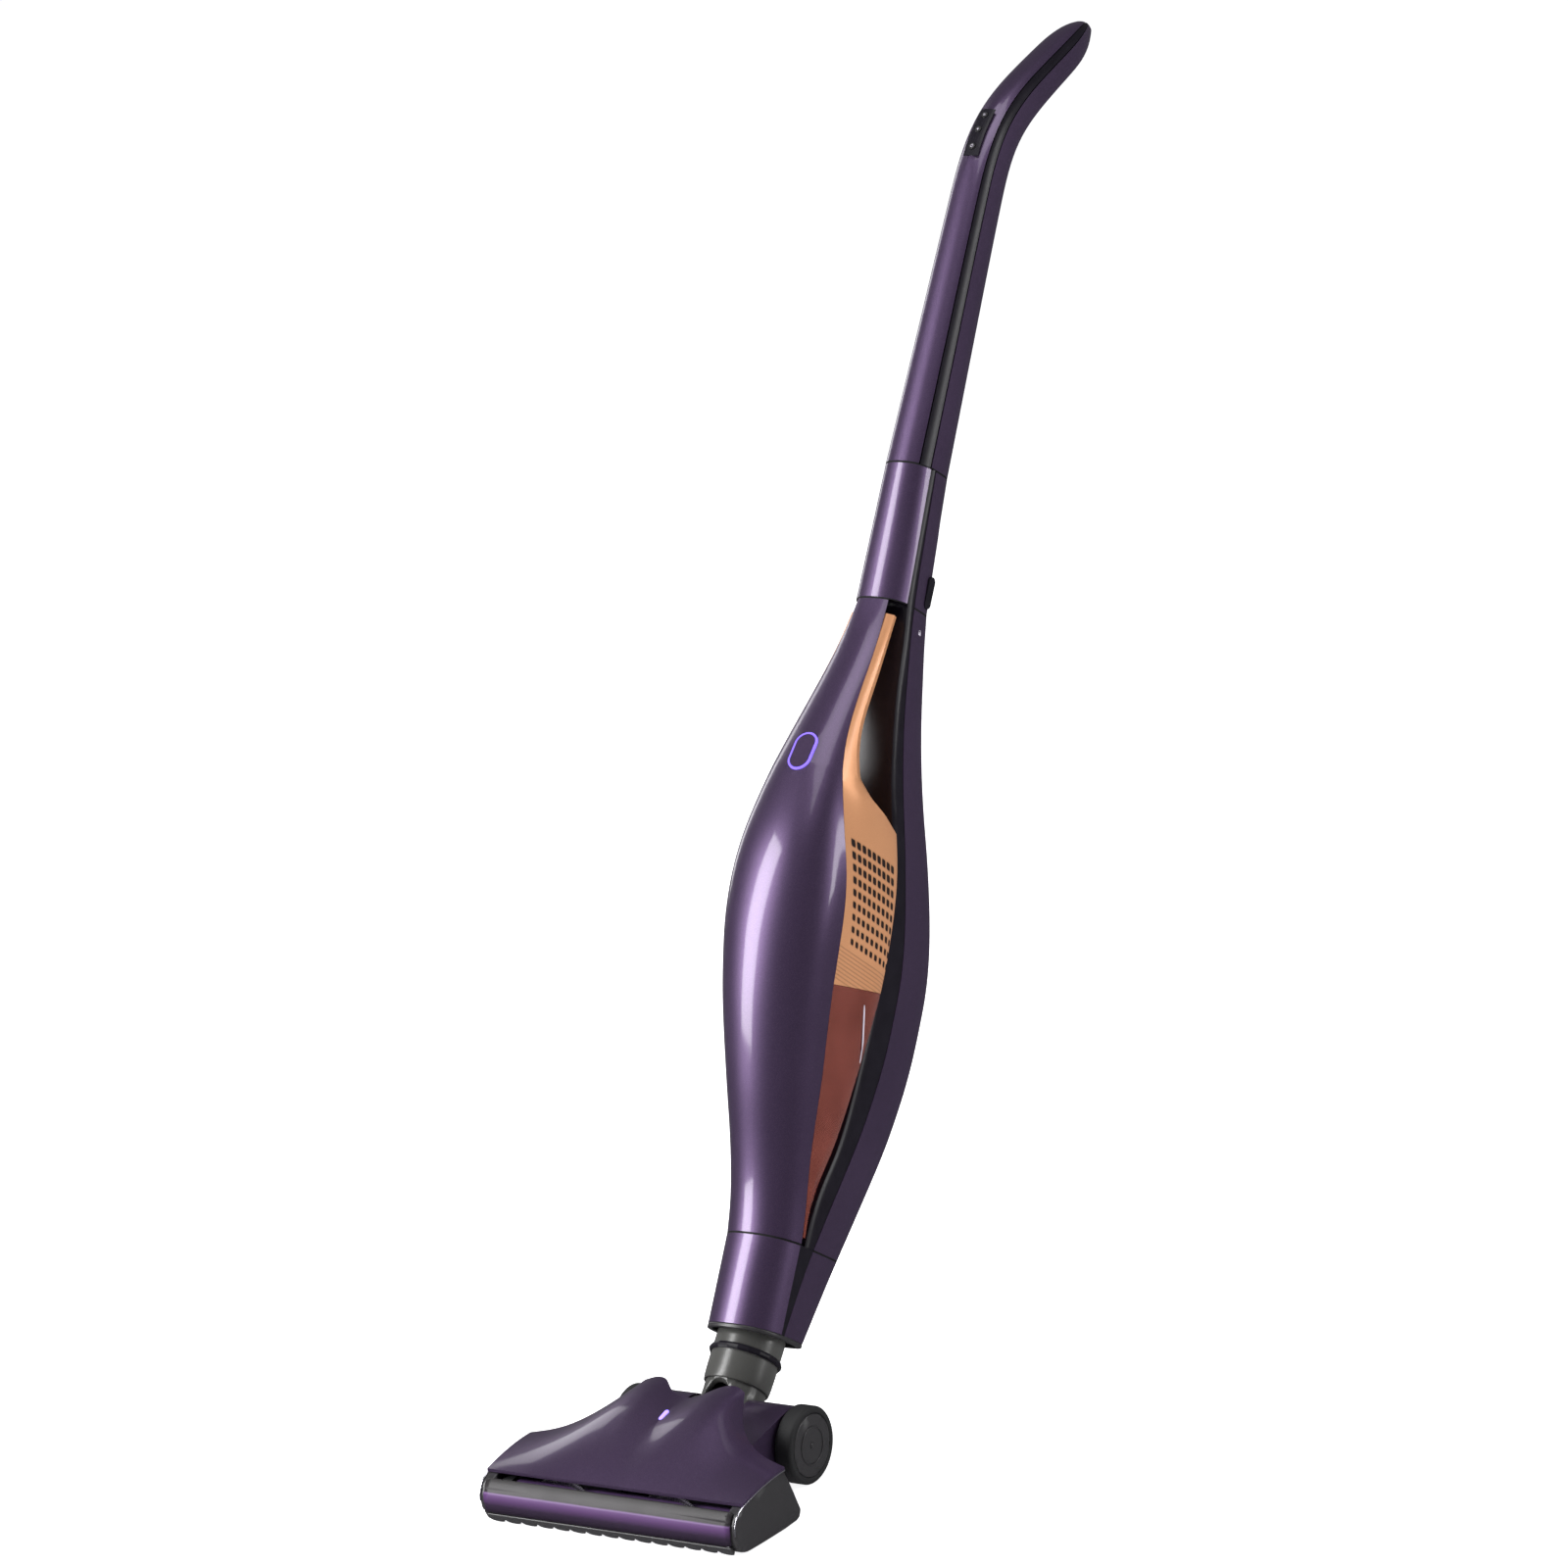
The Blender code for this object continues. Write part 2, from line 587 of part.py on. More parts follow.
def core_section(share, shrink):
    """The black core: its sides show between the shells, the rest lies under them."""
    tuck = WALL + RUN
    low, high = FRONT_STRIP + CORE_STEP, BACK_STRIP - CORE_STEP
    side = []
    for turn in (0, FRONT_STRIP * 0.3, FRONT_STRIP * 0.6, low):
        side.append(handle_point(share, shrink, turn, tuck))
    for turn in steps(low, high, 6):
        side.append(handle_point(share, shrink, turn))
    for turn in (high, (high + math.pi) / 2, math.pi):
        side.append(handle_point(share, shrink, turn, tuck))
    return side + [(-x, y) for x, y in reversed(side[1:-1])]


def make_handle(stick):
    """Handle: a black core between a rounded front strip and a flatter back strip."""
    front = handle_section(handle_strip(-FRONT_STRIP, FRONT_STRIP, WALL))
    rear = handle_section(handle_strip(BACK_STRIP, 2 * math.pi - BACK_STRIP, WALL))
    core = handle_section(core_section)
    piece("handle_rear_shell", loft(rear), "purple", stick)
    piece("handle_core", loft(core), "black_gloss", stick)
    return piece("handle_front_shell", loft(front), "purple", stick)


# ---------------------------------------------------------------- handheld
def make_handheld_shell(stick):
    """The bulb-shaped front shell of the handheld."""
    rings = []
    for w in sorted(heights(DOCK_FLOOR + GAP, DOCK_ROOF - GAP) + list(SHOULDER)):
        rings.append(front_band(w, math.radians(SHELL_ANGLE(w))))
    return piece("handheld_front_shell", loft(rings), "purple", stick)


def sloped(section, w):
    """A ring along the leaning seam of bin and housing: each point at its own height."""
    return [section(w + SEAM_SLOPE * point.y)[i] for i, point in enumerate(section(w))]


def hand_band(w):
    """The C-shaped section of the housing, open towards the front shell."""
    start = shell_edge(w) + GAP
    outer = mirrored(hand_side(w, start))
    inner = mirrored(hand_side(w, start, WALL))
    return band(outer + inner[::-1], w)


def make_motor_housing(stick):
    """Copper housing with its grip."""
    low, above = BIN_TOP + GAP, BIN_TOP + STATION / 2
    rings = [sloped(hand_band, low)]
    places = [w for w in heights(low, GRIP_END) if w > above] + list(SHOULDER)
    rings += [hand_band(w) for w in sorted(places)]
    return piece("motor_housing", loft(rings), "copper", stick)


def bin_outline(w, inset):
    """The dust bin's whole outline: tucked inside the front shell, flush at the sides."""
    edge = shell_edge(w) + GAP
    tuck = WALL + RUN + inset
    angle = front_angle(w, edge) * 0.88
    front = [front_point(w, turn, tuck) for turn in steps(0, angle, 5)]
    step = (side_width(w, edge) - tuck, edge + inset)
    half = front + [step] + hand_side(w, edge + inset, inset)
    return half + [(-x, y) for x, y in reversed(half[1:-1])]


def bin_band(w, inset=0.0):
    return band(bin_outline(w, inset), w)


def make_bin(stick):
    """Translucent dust bin, an open cup under the motor housing."""
    low, high, below = BIN_FOOT, BIN_TOP, BIN_TOP - STATION / 2
    outer = [bin_band(w) for w in heights(low, high) if w < below]
    inner = [bin_band(w, WALL) for w in heights(low + WALL, high) if w < below]
    outer.append(sloped(bin_band, high))
    inner.append(sloped(lambda w: bin_band(w, WALL), high))
    inner.reverse()
    return piece("dust_bin", loft(outer + inner), "amber_clear", stick)


# ---------------------------------------------------------------- stick fittings
def make_air_path(stick):
    """The duct from the neck up to the dust bin."""
    start = neck_in_stick(SPIGOT_TOP + SPIGOT_RADIUS * math.sin(NECK_TILT) + RUN)
    end = Vector((0, INLET_Y, DOCK_FLOOR - RUN))
    rings = []
    for share in steps(0, 1, 4):
        centre = start.lerp(end, share)
        rings.append((centre, DUCT_LOW + (DUCT_HIGH - DUCT_LOW) * share))
    outer = [disc(centre, (0, 0, 1), radius, 16) for centre, radius in rings]
    inner = [disc(centre, (0, 0, 1), radius - WALL, 16) for centre, radius in reversed(rings)]
    piece("air_duct", loft(outer + inner, through=True), "graphite", stick)


def neck_in_stick(along):
    """A point on the neck's axis, in the stick's frame."""
    return Vector((0, along * math.sin(NECK_TILT), along * math.cos(NECK_TILT)))


def stadium(centre, long_axis, cross_axis, length, width, sides=16):
    """A pill-shaped ring of points."""
    radius = width / 2
    points = []
    for i in range(sides):
        turn = 2 * math.pi * (i + 0.5) / sides
        shift = math.copysign(length / 2 - radius, math.cos(turn))
        points.append(Vector(centre) + Vector(long_axis) * (radius * math.cos(turn) + shift)
                      + Vector(cross_axis) * (radius * math.sin(turn)))
    return points


def pill(centre, normal, long_axis, length, width, low, high, sides=16):
    """A pill-shaped prism from low to high along its normal."""
    normal, long_axis = Vector(normal).normalized(), Vector(long_axis).normalized()
    cross = normal.cross(long_axis)
    centre = Vector(centre)
    return loft([stadium(centre + normal * low, long_axis, cross, length, width, sides),
                 stadium(centre + normal * high, long_axis, cross, length, width, sides)])


def make_release(stick, spine):
    """The pill button on the spine's right side, its bolt and its spring."""
    across, along = (1, 0, 0), (0, 0.0, 1)
    surface = SPINE_HALF(RELEASE_AT)
    centre = Vector((surface, RELEASE_Y, RELEASE_AT))
    hole = piece("release_hole", pill(centre, across, along, RELEASE_LONG + 2 * CLEAR,
                                      RELEASE_WIDE + 2 * CLEAR, -0.006, 0.004), "graphite", stick)
    boolean(spine, hole, "DIFFERENCE")
    piece("handheld_release_button", pill(centre, across, along, RELEASE_LONG, RELEASE_WIDE,
                                          -0.0040, 0.0010), "black_gloss", stick, centre)
    inner = surface - 0.0040 - GAP
    start = Vector((inner, RELEASE_Y, RELEASE_AT))
    end = Vector((inner - SPRING_LONG, RELEASE_Y, RELEASE_AT))
    piece("latch_spring", coil(end, start, SPRING_RADIUS, SPRING_WIRE, 4), "steel", stick)


def coil(start, end, radius, wire, turns, around=8, sides=5):
    """A compression spring of round wire between two points."""
    start, end = Vector(start), Vector(end)
    axis = (end - start).normalized()
    side = axis.orthogonal().normalized()
    up = axis.cross(side)
    length = (end - start).length - 2 * wire
    rings = []
    for i in range(turns * around + 1):
        turn = 2 * math.pi * i / around
        out = side * math.cos(turn) + up * math.sin(turn)
        centre = start + axis * (wire + length * i / (turns * around)) + out * radius
        rings.append(disc(centre, out.cross(axis), wire, sides))
    return loft(rings)


def make_contacts(stick, spine):
    """Two charging contacts low on the back, where a wall dock would meet them."""
    slope = (BACK(CONTACT_AT + 0.001) - BACK(CONTACT_AT - 0.001)) / 0.002
    normal, along = Vector((0, 1, -slope)).normalized(), Vector((0, slope, 1)).normalized()
    holes = []
    for side, name in ((-1, "charging_contact_left"), (1, "charging_contact_right")):
        centre = Vector((side * CONTACT_OFFSET, BACK(CONTACT_AT), CONTACT_AT))
        piece(name, pill(centre, normal, along, CONTACT_LONG, CONTACT_WIDE, -WALL, 0), "brass", stick)
        spare = 2 * CLEAR
        holes.append(pill(centre, normal, along, CONTACT_LONG + spare, CONTACT_WIDE + spare, -0.006, 0.004))
    boolean(spine, piece("contact_holes", group(*holes), "graphite", stick), "DIFFERENCE")


def make_controls(stick, shell):
    """Three small keys in a dark panel at the bend of the handle."""
    panel = handle_patch(PANEL_LOW, PANEL_HIGH, PANEL_ANGLE, -GAP, -GAP - PANEL_THICK)
    panel = piece("control_panel", panel, "black_gloss", stick)
    for i, name in enumerate(("power_key", "boost_key", "brush_key")):
        z = PANEL_LOW + (PANEL_HIGH - PANEL_LOW) * (i + 0.5) / 3
        centre, direction, share = handle_at(z)
        back = Vector((0, direction.z, -direction.y))
        surface = centre - back * HANDLE_FRONT(share)
        tool = piece(name + "_hole", rod(surface + back * 0.008, surface - back * 0.008,
                                         KEY_RADIUS + CLEAR, 10), "graphite", stick)
        boolean(shell, tool, "DIFFERENCE")
        boolean(panel, tool, "DIFFERENCE")
        key = rod(surface + back * KEY_INNER, surface - back * KEY_PROUD, KEY_RADIUS, 10)
        piece(name, key, "graphite", stick, surface)


def handle_at(z):
    """Centre, direction and share of the handle at a height."""
    along_y = Curve(*[(height, y) for y, height in HANDLE_LINE])
    slope = (along_y(z + 0.001) - along_y(z - 0.001)) / 0.002
    share = (z - HANDLE_LINE[0][1]) / (HANDLE_LINE[-1][1] - HANDLE_LINE[0][1])
    return Vector((0, along_y(z), z)), Vector((0, slope, 1)).normalized(), share


def handle_patch(low, high, angle, inside, outside):
    """A thin curved plate lying on the front of the handle."""
    rings = []
    for z in steps(low, high, 7):
        centre, direction, share = handle_at(z)
        back = Vector((0, direction.z, -direction.y))
        turns = steps(-angle, angle, 7)
        line = [handle_point(share, 1.0, turn, inside) for turn in turns]
        line += [handle_point(share, 1.0, turn, outside) for turn in reversed(turns)]
        rings.append([centre + Vector((x, 0, 0)) + back * y for x, y in line])
    return loft(rings)


# ---------------------------------------------------------------- handheld fittings
def make_power_button(stick, shell):
    """Power button and its lit ring on the front of the handheld."""
    slope = (FRONT(BUTTON_AT + 0.001) - FRONT(BUTTON_AT - 0.001)) / 0.002
    normal = Vector((0, -1, slope)).normalized()
    along = Vector((0, slope, 1)).normalized()
    centre = Vector((0, FRONT(BUTTON_AT), BUTTON_AT))
    hole = piece("ring_hole", pill(centre, normal, along, RING_LONG + 2 * GAP, RING_WIDE + 2 * GAP,
                                   -0.008, 0.006, 24), "graphite", stick)
    boolean(shell, hole, "DIFFERENCE")
    cross = normal.cross(along)
    low, high = centre - normal * 0.0032, centre + normal * 0.0006
    inner_long, inner_wide = RING_LONG - 2 * RING_THICK, RING_WIDE - 2 * RING_THICK
    ring = loft([stadium(low, along, cross, RING_LONG, RING_WIDE, 24),
                 stadium(high, along, cross, RING_LONG, RING_WIDE, 24),
                 stadium(high, along, cross, inner_long, inner_wide, 24),
                 stadium(low, along, cross, inner_long, inner_wide, 24)], through=True)
    piece("ring_lens", ring, "violet_light", stick)
    button = pill(centre, normal, along, inner_long - 2 * CLEAR, inner_wide - 2 * CLEAR,
                  -0.0045, 0.0009, 24)
    piece("power_button", button, "purple", stick, centre)


def make_handheld_insides(stick):
    """Filter, inlet, fan, motor, battery and board inside the handheld."""
    y = FILTER_Y
    top, tip = BIN_TOP - 0.002, BIN_TOP - FILTER_LONG
    cone = turned((0, y, tip), (0, 0, 1), [(0, FILTER_TIP), (FILTER_LONG - 0.0060, FILTER_RADIUS),
                                           (FILTER_LONG - 0.0060, FILTER_FLANGE), (top - tip, FILTER_FLANGE)],
                  20)
    piece("filter_cone", cone, "white_filter", stick)
    lid = BIN_FOOT + WALL + GAP
    flap = rod((0, INLET_Y, lid), (0, INLET_Y, lid + 0.0016), INLET_RADIUS, 16)
    piece("inlet_flap", flap, "rubber", stick, (0, INLET_Y + INLET_RADIUS, lid))
    fan = turned((0, MOTOR_Y, BIN_TOP + 0.008), (0, 0, 1), [(0, 0.022), (0.004, 0.024), (0.010, 0.010)], 20)
    piece("fan", fan, "graphite", stick, (0, MOTOR_Y, BIN_TOP + 0.008))
    low = BIN_TOP + 0.020
    motor = turned((0, MOTOR_Y, low), (0, 0, 1), [(0, 0.024), (0.002, 0.026), (0.054, 0.026), (0.060, 0.015)])
    piece("suction_motor", motor, "steel", stick)
    low = (-BATTERY_HALF, BATTERY_Y - BATTERY_DEEP, BATTERY_AT)
    high = (BATTERY_HALF, BATTERY_Y, BATTERY_AT + BATTERY_LONG)
    piece("battery_pack", block(low, high, 0.004), "cell_wrap", stick)
    board = block((-0.015, BOARD_Y, BOARD_AT), (0.015, BOARD_Y + 0.0016, BOARD_AT + 0.040))
    piece("control_board", board, "board", stick)


# ---------------------------------------------------------------- floor head
def at_head(x, back, z):
    """A point given by its distance behind the head's front edge."""
    return Vector((x, FRONT_Y + back, z))


def shell_line(x):
    """The top shell's section at x: (y, z) from the front edge back to the rear edge."""
    rear, height = REAR_EDGE(abs(x)), REAR_HEIGHT(abs(x))
    points = []
    for share in steps(0, 1, 8):
        rise = 1 - (1 - share) ** SHELL_CROWN
        points.append((FRONT_Y + SHELL_FRONT + (rear - SHELL_FRONT) * share,
                       SHELL_LOW + (height - SHELL_LOW) * rise))
    return points


def make_top_shell():
    rings = []
    places = (0, 0.009, 0.017, 0.024, 0.030, 0.038, 0.046, 0.056, 0.070, 0.088, 0.104, HEAD_HALF)
    for x in [-place for place in reversed(places)] + list(places[1:]):
        top = shell_line(x)
        under = [(y, z - WALL) for y, z in reversed(top)]
        rings.append([Vector((x, y, z)) for y, z in top + under])
    shell = piece("head_top_shell", loft(rings), "purple")
    y, z = shell_line(0)[5]
    tilt = Vector((0, 1, 0.30)).normalized()
    normal = Vector((0, -0.30, 1)).normalized()
    hole = piece("indicator_hole", pill((0, y, z), normal, tilt, LAMP_LONG + 2 * GAP, LAMP_WIDE + 2 * GAP,
                                        -0.008, 0.008, 12), "graphite")
    boolean(shell, hole, "DIFFERENCE")
    piece("indicator_lens", pill((0, y, z), normal, tilt, LAMP_LONG, LAMP_WIDE, -0.0026, 0.0006, 12),
          "violet_light")


def make_end_caps():
    under = [(y, z - WALL - 2 * GAP) for y, z in shell_line(HEAD_HALF)]
    front = roller_arc(WINDOW_RADIUS - WINDOW_WALL - GAP, COMB_END, WINDOW_TOP, 9)
    outline = [(FRONT_Y + 0.0150, SOLE_HEIGHT)] + front + under
    outline += [(FRONT_Y + HEAD_DEPTH + 0.0015, 0.0085), (FRONT_Y + HEAD_DEPTH - 0.002, SOLE_HEIGHT)]
    for side, name in ((-1, "end_cap_left"), (1, "end_cap_right")):
        low, high = sorted((side * CAP_INNER, side * (HEAD_HALF - 0.0003)))
        piece(name, prism(outline, low, high), "graphite")


def roller_arc(radius, first, last, count):
    """Points round the roller's axis, angles in degrees from straight back."""
    points = []
    for turn in steps(math.radians(first), math.radians(last), count):
        points.append((FRONT_Y + ROLLER_BACK + radius * math.cos(turn), ROLLER_HEIGHT + radius * math.sin(turn)))
    return points


def sole_outline(with_chamber):
    """The sole and the rear wall, and the roller's chamber where the roller runs."""
    chamber = ROLLER_CHAMBER
    low, high = SOLE_HEIGHT, SOLE_HEIGHT + WALL
    rear = [(FRONT_Y + 0.0860, low), (FRONT_Y + 0.0882, 0.0060), (FRONT_Y + 0.0748, 0.0420)]
    rear += [(FRONT_Y + 0.0722, 0.0420), (FRONT_Y + 0.0850, 0.0075), (FRONT_Y + 0.0840, high)]
    if not with_chamber:
        return [(FRONT_Y + 0.040, low)] + rear + [(FRONT_Y + 0.040, high)]
    inner = roller_arc(chamber, 62, -58, 9)
    outer = roller_arc(chamber + WALL, -41.5, 62, 8)
    return inner + rear + outer


def make_base():
    base = piece("head_base", prism(sole_outline(True), BELT_SIDE, CAP_INNER - GAP), "graphite")
    cover = prism(sole_outline(False), -CAP_INNER + GAP, BELT_SIDE + RUN)
    boolean(base, piece("belt_cover", cover, "graphite"), "UNION")
    pockets = []
    half, radius = SOLE_WHEEL_WIDE / 2, SOLE_WHEEL_RADIUS
    for x in (-SOLE_WHEEL_X, SOLE_WHEEL_X):
        room = half + RUN
        low = at_head(x - room, SOLE_WHEEL_BACK - radius - RUN, 0)
        high = at_head(x + room, SOLE_WHEEL_BACK + radius + RUN, 2 * radius)
        pockets.append(block(low, high))
    boolean(base, piece("sole_pockets", group(*pockets), "graphite"), "DIFFERENCE")
    middle = at_head(0, SOLE_WHEEL_BACK, radius)
    inner, outer, sleeve, bore = SOLE_WHEEL_X - half, SOLE_WHEEL_X + half, SOLE_SLEEVE, SOLE_AXLE + GAP
    profile = [(-outer, radius), (-inner, radius), (-inner, sleeve), (inner, sleeve), (inner, radius),
               (outer, radius), (outer, bore), (-outer, bore)]
    rings = [disc(middle + Vector((x, 0, 0)), (1, 0, 0), size, 14) for x, size in profile]
    piece("sole_roller", loft(rings, through=True), "rubber", None, middle)
    reach = Vector((outer + 0.0030, 0, 0))
    piece("sole_axle", rod(middle - reach, middle + reach, SOLE_AXLE, 10), "steel")
    low, high = at_head(-0.060, FELT_SETBACK - 0.0055, 0), at_head(0.060, FELT_SETBACK + 0.0055, SOLE_HEIGHT - GAP)
    piece("sole_felt", block(low, high), "felt")
    return base


def make_window():
    for name, first, last, finish in (("roller_window", WINDOW_TOP, WINDOW_END, "violet_clear"),
                                      ("front_comb", WINDOW_END + 1, COMB_END, "graphite")):
        inner = roller_arc(WINDOW_RADIUS - WINDOW_WALL, first, last, 8)
        outer = roller_arc(WINDOW_RADIUS, last, first, 8)
        piece(name, prism(inner + outer, -WINDOW_HALF, WINDOW_HALF), finish)


def make_roller():
    """Brush roller on its shaft, driven by a belt from its own motor."""
    axis = at_head(0, ROLLER_BACK, ROLLER_HEIGHT)
    low, high, end = BELT_SIDE + RUN, 0.1040, CAP_INNER - GAP
    profile = [(-end, JOURNAL), (low, JOURNAL), (low, ROLLER_RADIUS), (high, ROLLER_RADIUS),
               (high, JOURNAL), (end, JOURNAL)]
    piece("brush_roller", turned(axis, (1, 0, 0), profile, 20), "violet_clear", None, axis)
    strips = []
    for start in (0, math.pi):
        rings = []
        for share in steps(0, 1, 15):
            x = low + (high - low) * share
            turn = start + 2 * math.pi * share
            out = Vector((0, math.cos(turn), math.sin(turn)))
            along = Vector((0, -math.sin(turn), math.cos(turn)))
            centre = Vector((x, axis.y, axis.z))
            rings.append([centre + out * radius + along * shift for radius, shift in
                          ((STRIP_ROOT, -STRIP_HALF), (BRISTLE_RADIUS, -STRIP_HALF),
                           (BRISTLE_RADIUS, STRIP_HALF), (STRIP_ROOT, STRIP_HALF))])
        strips.append(loft(rings))
    near, far = axis + Vector((high - 0.0020, 0, 0)), axis + Vector((high, 0, 0))
    ring = pipe(near, far, ROLLER_RADIUS + 0.0022, ROLLER_RADIUS + 2 * GAP, 20)
    bristles = piece("bristle_strips", ring, "bristle", None, axis)
    boolean(bristles, piece("bristle_fins", group(*strips), "bristle", None, axis), "UNION")
    for side, name in ((-1, "roller_bearing_left"), (1, "roller_bearing_right")):
        start = axis + Vector((side * (CAP_INNER - 0.0022), 0, 0))
        stop = axis + Vector((side * (CAP_INNER - GAP), 0, 0))
        piece(name, pipe(start, stop, 0.0080, JOURNAL + GAP, 16), "steel")
    middle = at_head(0, DRIVE_BACK, DRIVE_HEIGHT)
    shaft, can, radius = BELT_SIDE + GAP, -0.0780, DRIVE_RADIUS
    profile = [(shaft, 0.0025), (can, 0.0025), (can, radius - 0.002), (can + 0.002, radius),
               (can + 0.042, radius), (can + 0.046, 0.7 * radius)]
    motor = turned(middle, (1, 0, 0), profile, 18)
    piece("brush_motor", motor, "steel")
    near, far = Vector((-0.1045, 0, 0)), Vector((BELT_SIDE - GAP - RUN, 0, 0))
    small = middle + far
    piece("motor_pulley", rod(middle + near, small, MOTOR_PULLEY, 16), "graphite", None, middle)
    piece("roller_pulley", pipe(axis + near, axis + far, ROLLER_PULLEY, JOURNAL + GAP, 20), "graphite",
          None, axis)
    make_belt(axis, middle, near.x, far.x)


def make_belt(big, small, low, high):
    """A flat belt: two arcs and the straight runs that touch both pulleys."""
    gap = Vector((0, small.y - big.y, small.z - big.z))
    lean = math.atan2(gap.z, gap.y)
    open_angle = math.acos((ROLLER_PULLEY - MOTOR_PULLEY) / gap.length)
    loops = []
    for extra in (BELT_THICK + 2 * GAP, 2 * GAP):
        points = []
        for turn in steps(lean + open_angle, lean + 2 * math.pi - open_angle, 11):
            points.append((big.y + (ROLLER_PULLEY + extra) * math.cos(turn),
                           big.z + (ROLLER_PULLEY + extra) * math.sin(turn)))
        for turn in steps(lean - open_angle, lean + open_angle, 7):
            points.append((small.y + (MOTOR_PULLEY + extra) * math.cos(turn),
                           small.z + (MOTOR_PULLEY + extra) * math.sin(turn)))
        loops.append(points)
    outer, inner = loops
    rings = [[Vector((x, y, z)) for y, z in line] for x, line in
             ((low, outer), (high, outer), (high, inner), (low, inner))]
    piece("drive_belt", loft(rings, through=True), "rubber")


def fairing_outline():
    """Side view of a wheel housing: a block behind the sole that ends in a round barrel."""
    points = [(FRONT_Y + 0.0892, 0.0070), (FRONT_Y + 0.0762, 0.0415)]
    for turn in steps(math.radians(100), math.radians(-95), 14):
        points.append((PIVOT.y + FAIRING_RADIUS * math.cos(turn), PIVOT.z + FAIRING_RADIUS * math.sin(turn)))
    return points


def make_rear():
    """Wheel housings, wheels, their axles and the pins that the neck turns on."""
    for side, name in ((-1, "left"), (1, "right")):
        low, high = sorted((side * FAIRING_INNER, side * FAIRING_OUTER))
        fairing = piece("wheel_housing_" + name, prism(fairing_outline(), low, high), "purple")
        line = Vector((side, 0, 0))
        profile = [(PIN_IN, PIN_RADIUS), (PIN_OUT, PIN_RADIUS), (PIN_OUT, AXLE_RADIUS), (AXLE_OUT, AXLE_RADIUS)]
        piece("stub_axle_" + name, turned(PIVOT, line, profile, 14), "steel")
        profile = [(0.0100, PIN_RADIUS + GAP), (PIN_OUT + GAP, PIN_RADIUS + GAP),
                   (PIN_OUT + GAP, AXLE_RADIUS + GAP), (0.0900, AXLE_RADIUS + GAP)]
        bore = piece("housing_bore_" + name, turned(PIVOT, line, profile, 14), "graphite")
        boolean(fairing, bore, "DIFFERENCE")
        make_wheel(name, PIVOT + line * (WHEEL_OUT - WHEEL_WIDTH), line)


def make_wheel(name, start, out):
    """Rubber tyre on a flat hub; start is the middle of its inner face."""
    rim = WHEEL_RADIUS - 0.0060
    edge = WHEEL_RADIUS - 0.0015
    outline = [(0, rim + GAP), (0, edge), (0.0015, WHEEL_RADIUS), (WHEEL_WIDTH - 0.0015, WHEEL_RADIUS),
               (WHEEL_WIDTH, edge), (WHEEL_WIDTH, rim + GAP)]
    rings = [disc(start + out * along, out, radius) for along, radius in outline]
    piece("wheel_tyre_" + name, loft(rings, through=True), "rubber", None, start)
    bore, depth = AXLE_RADIUS + GAP, WHEEL_WIDTH - 0.0026
    rings = [disc(start + out * along, out, radius) for along, radius in
             ((depth, bore), (0, bore), (0, rim), (WHEEL_WIDTH, rim))]
    piece("wheel_hub_" + name, loft(rings), "graphite", None, start)


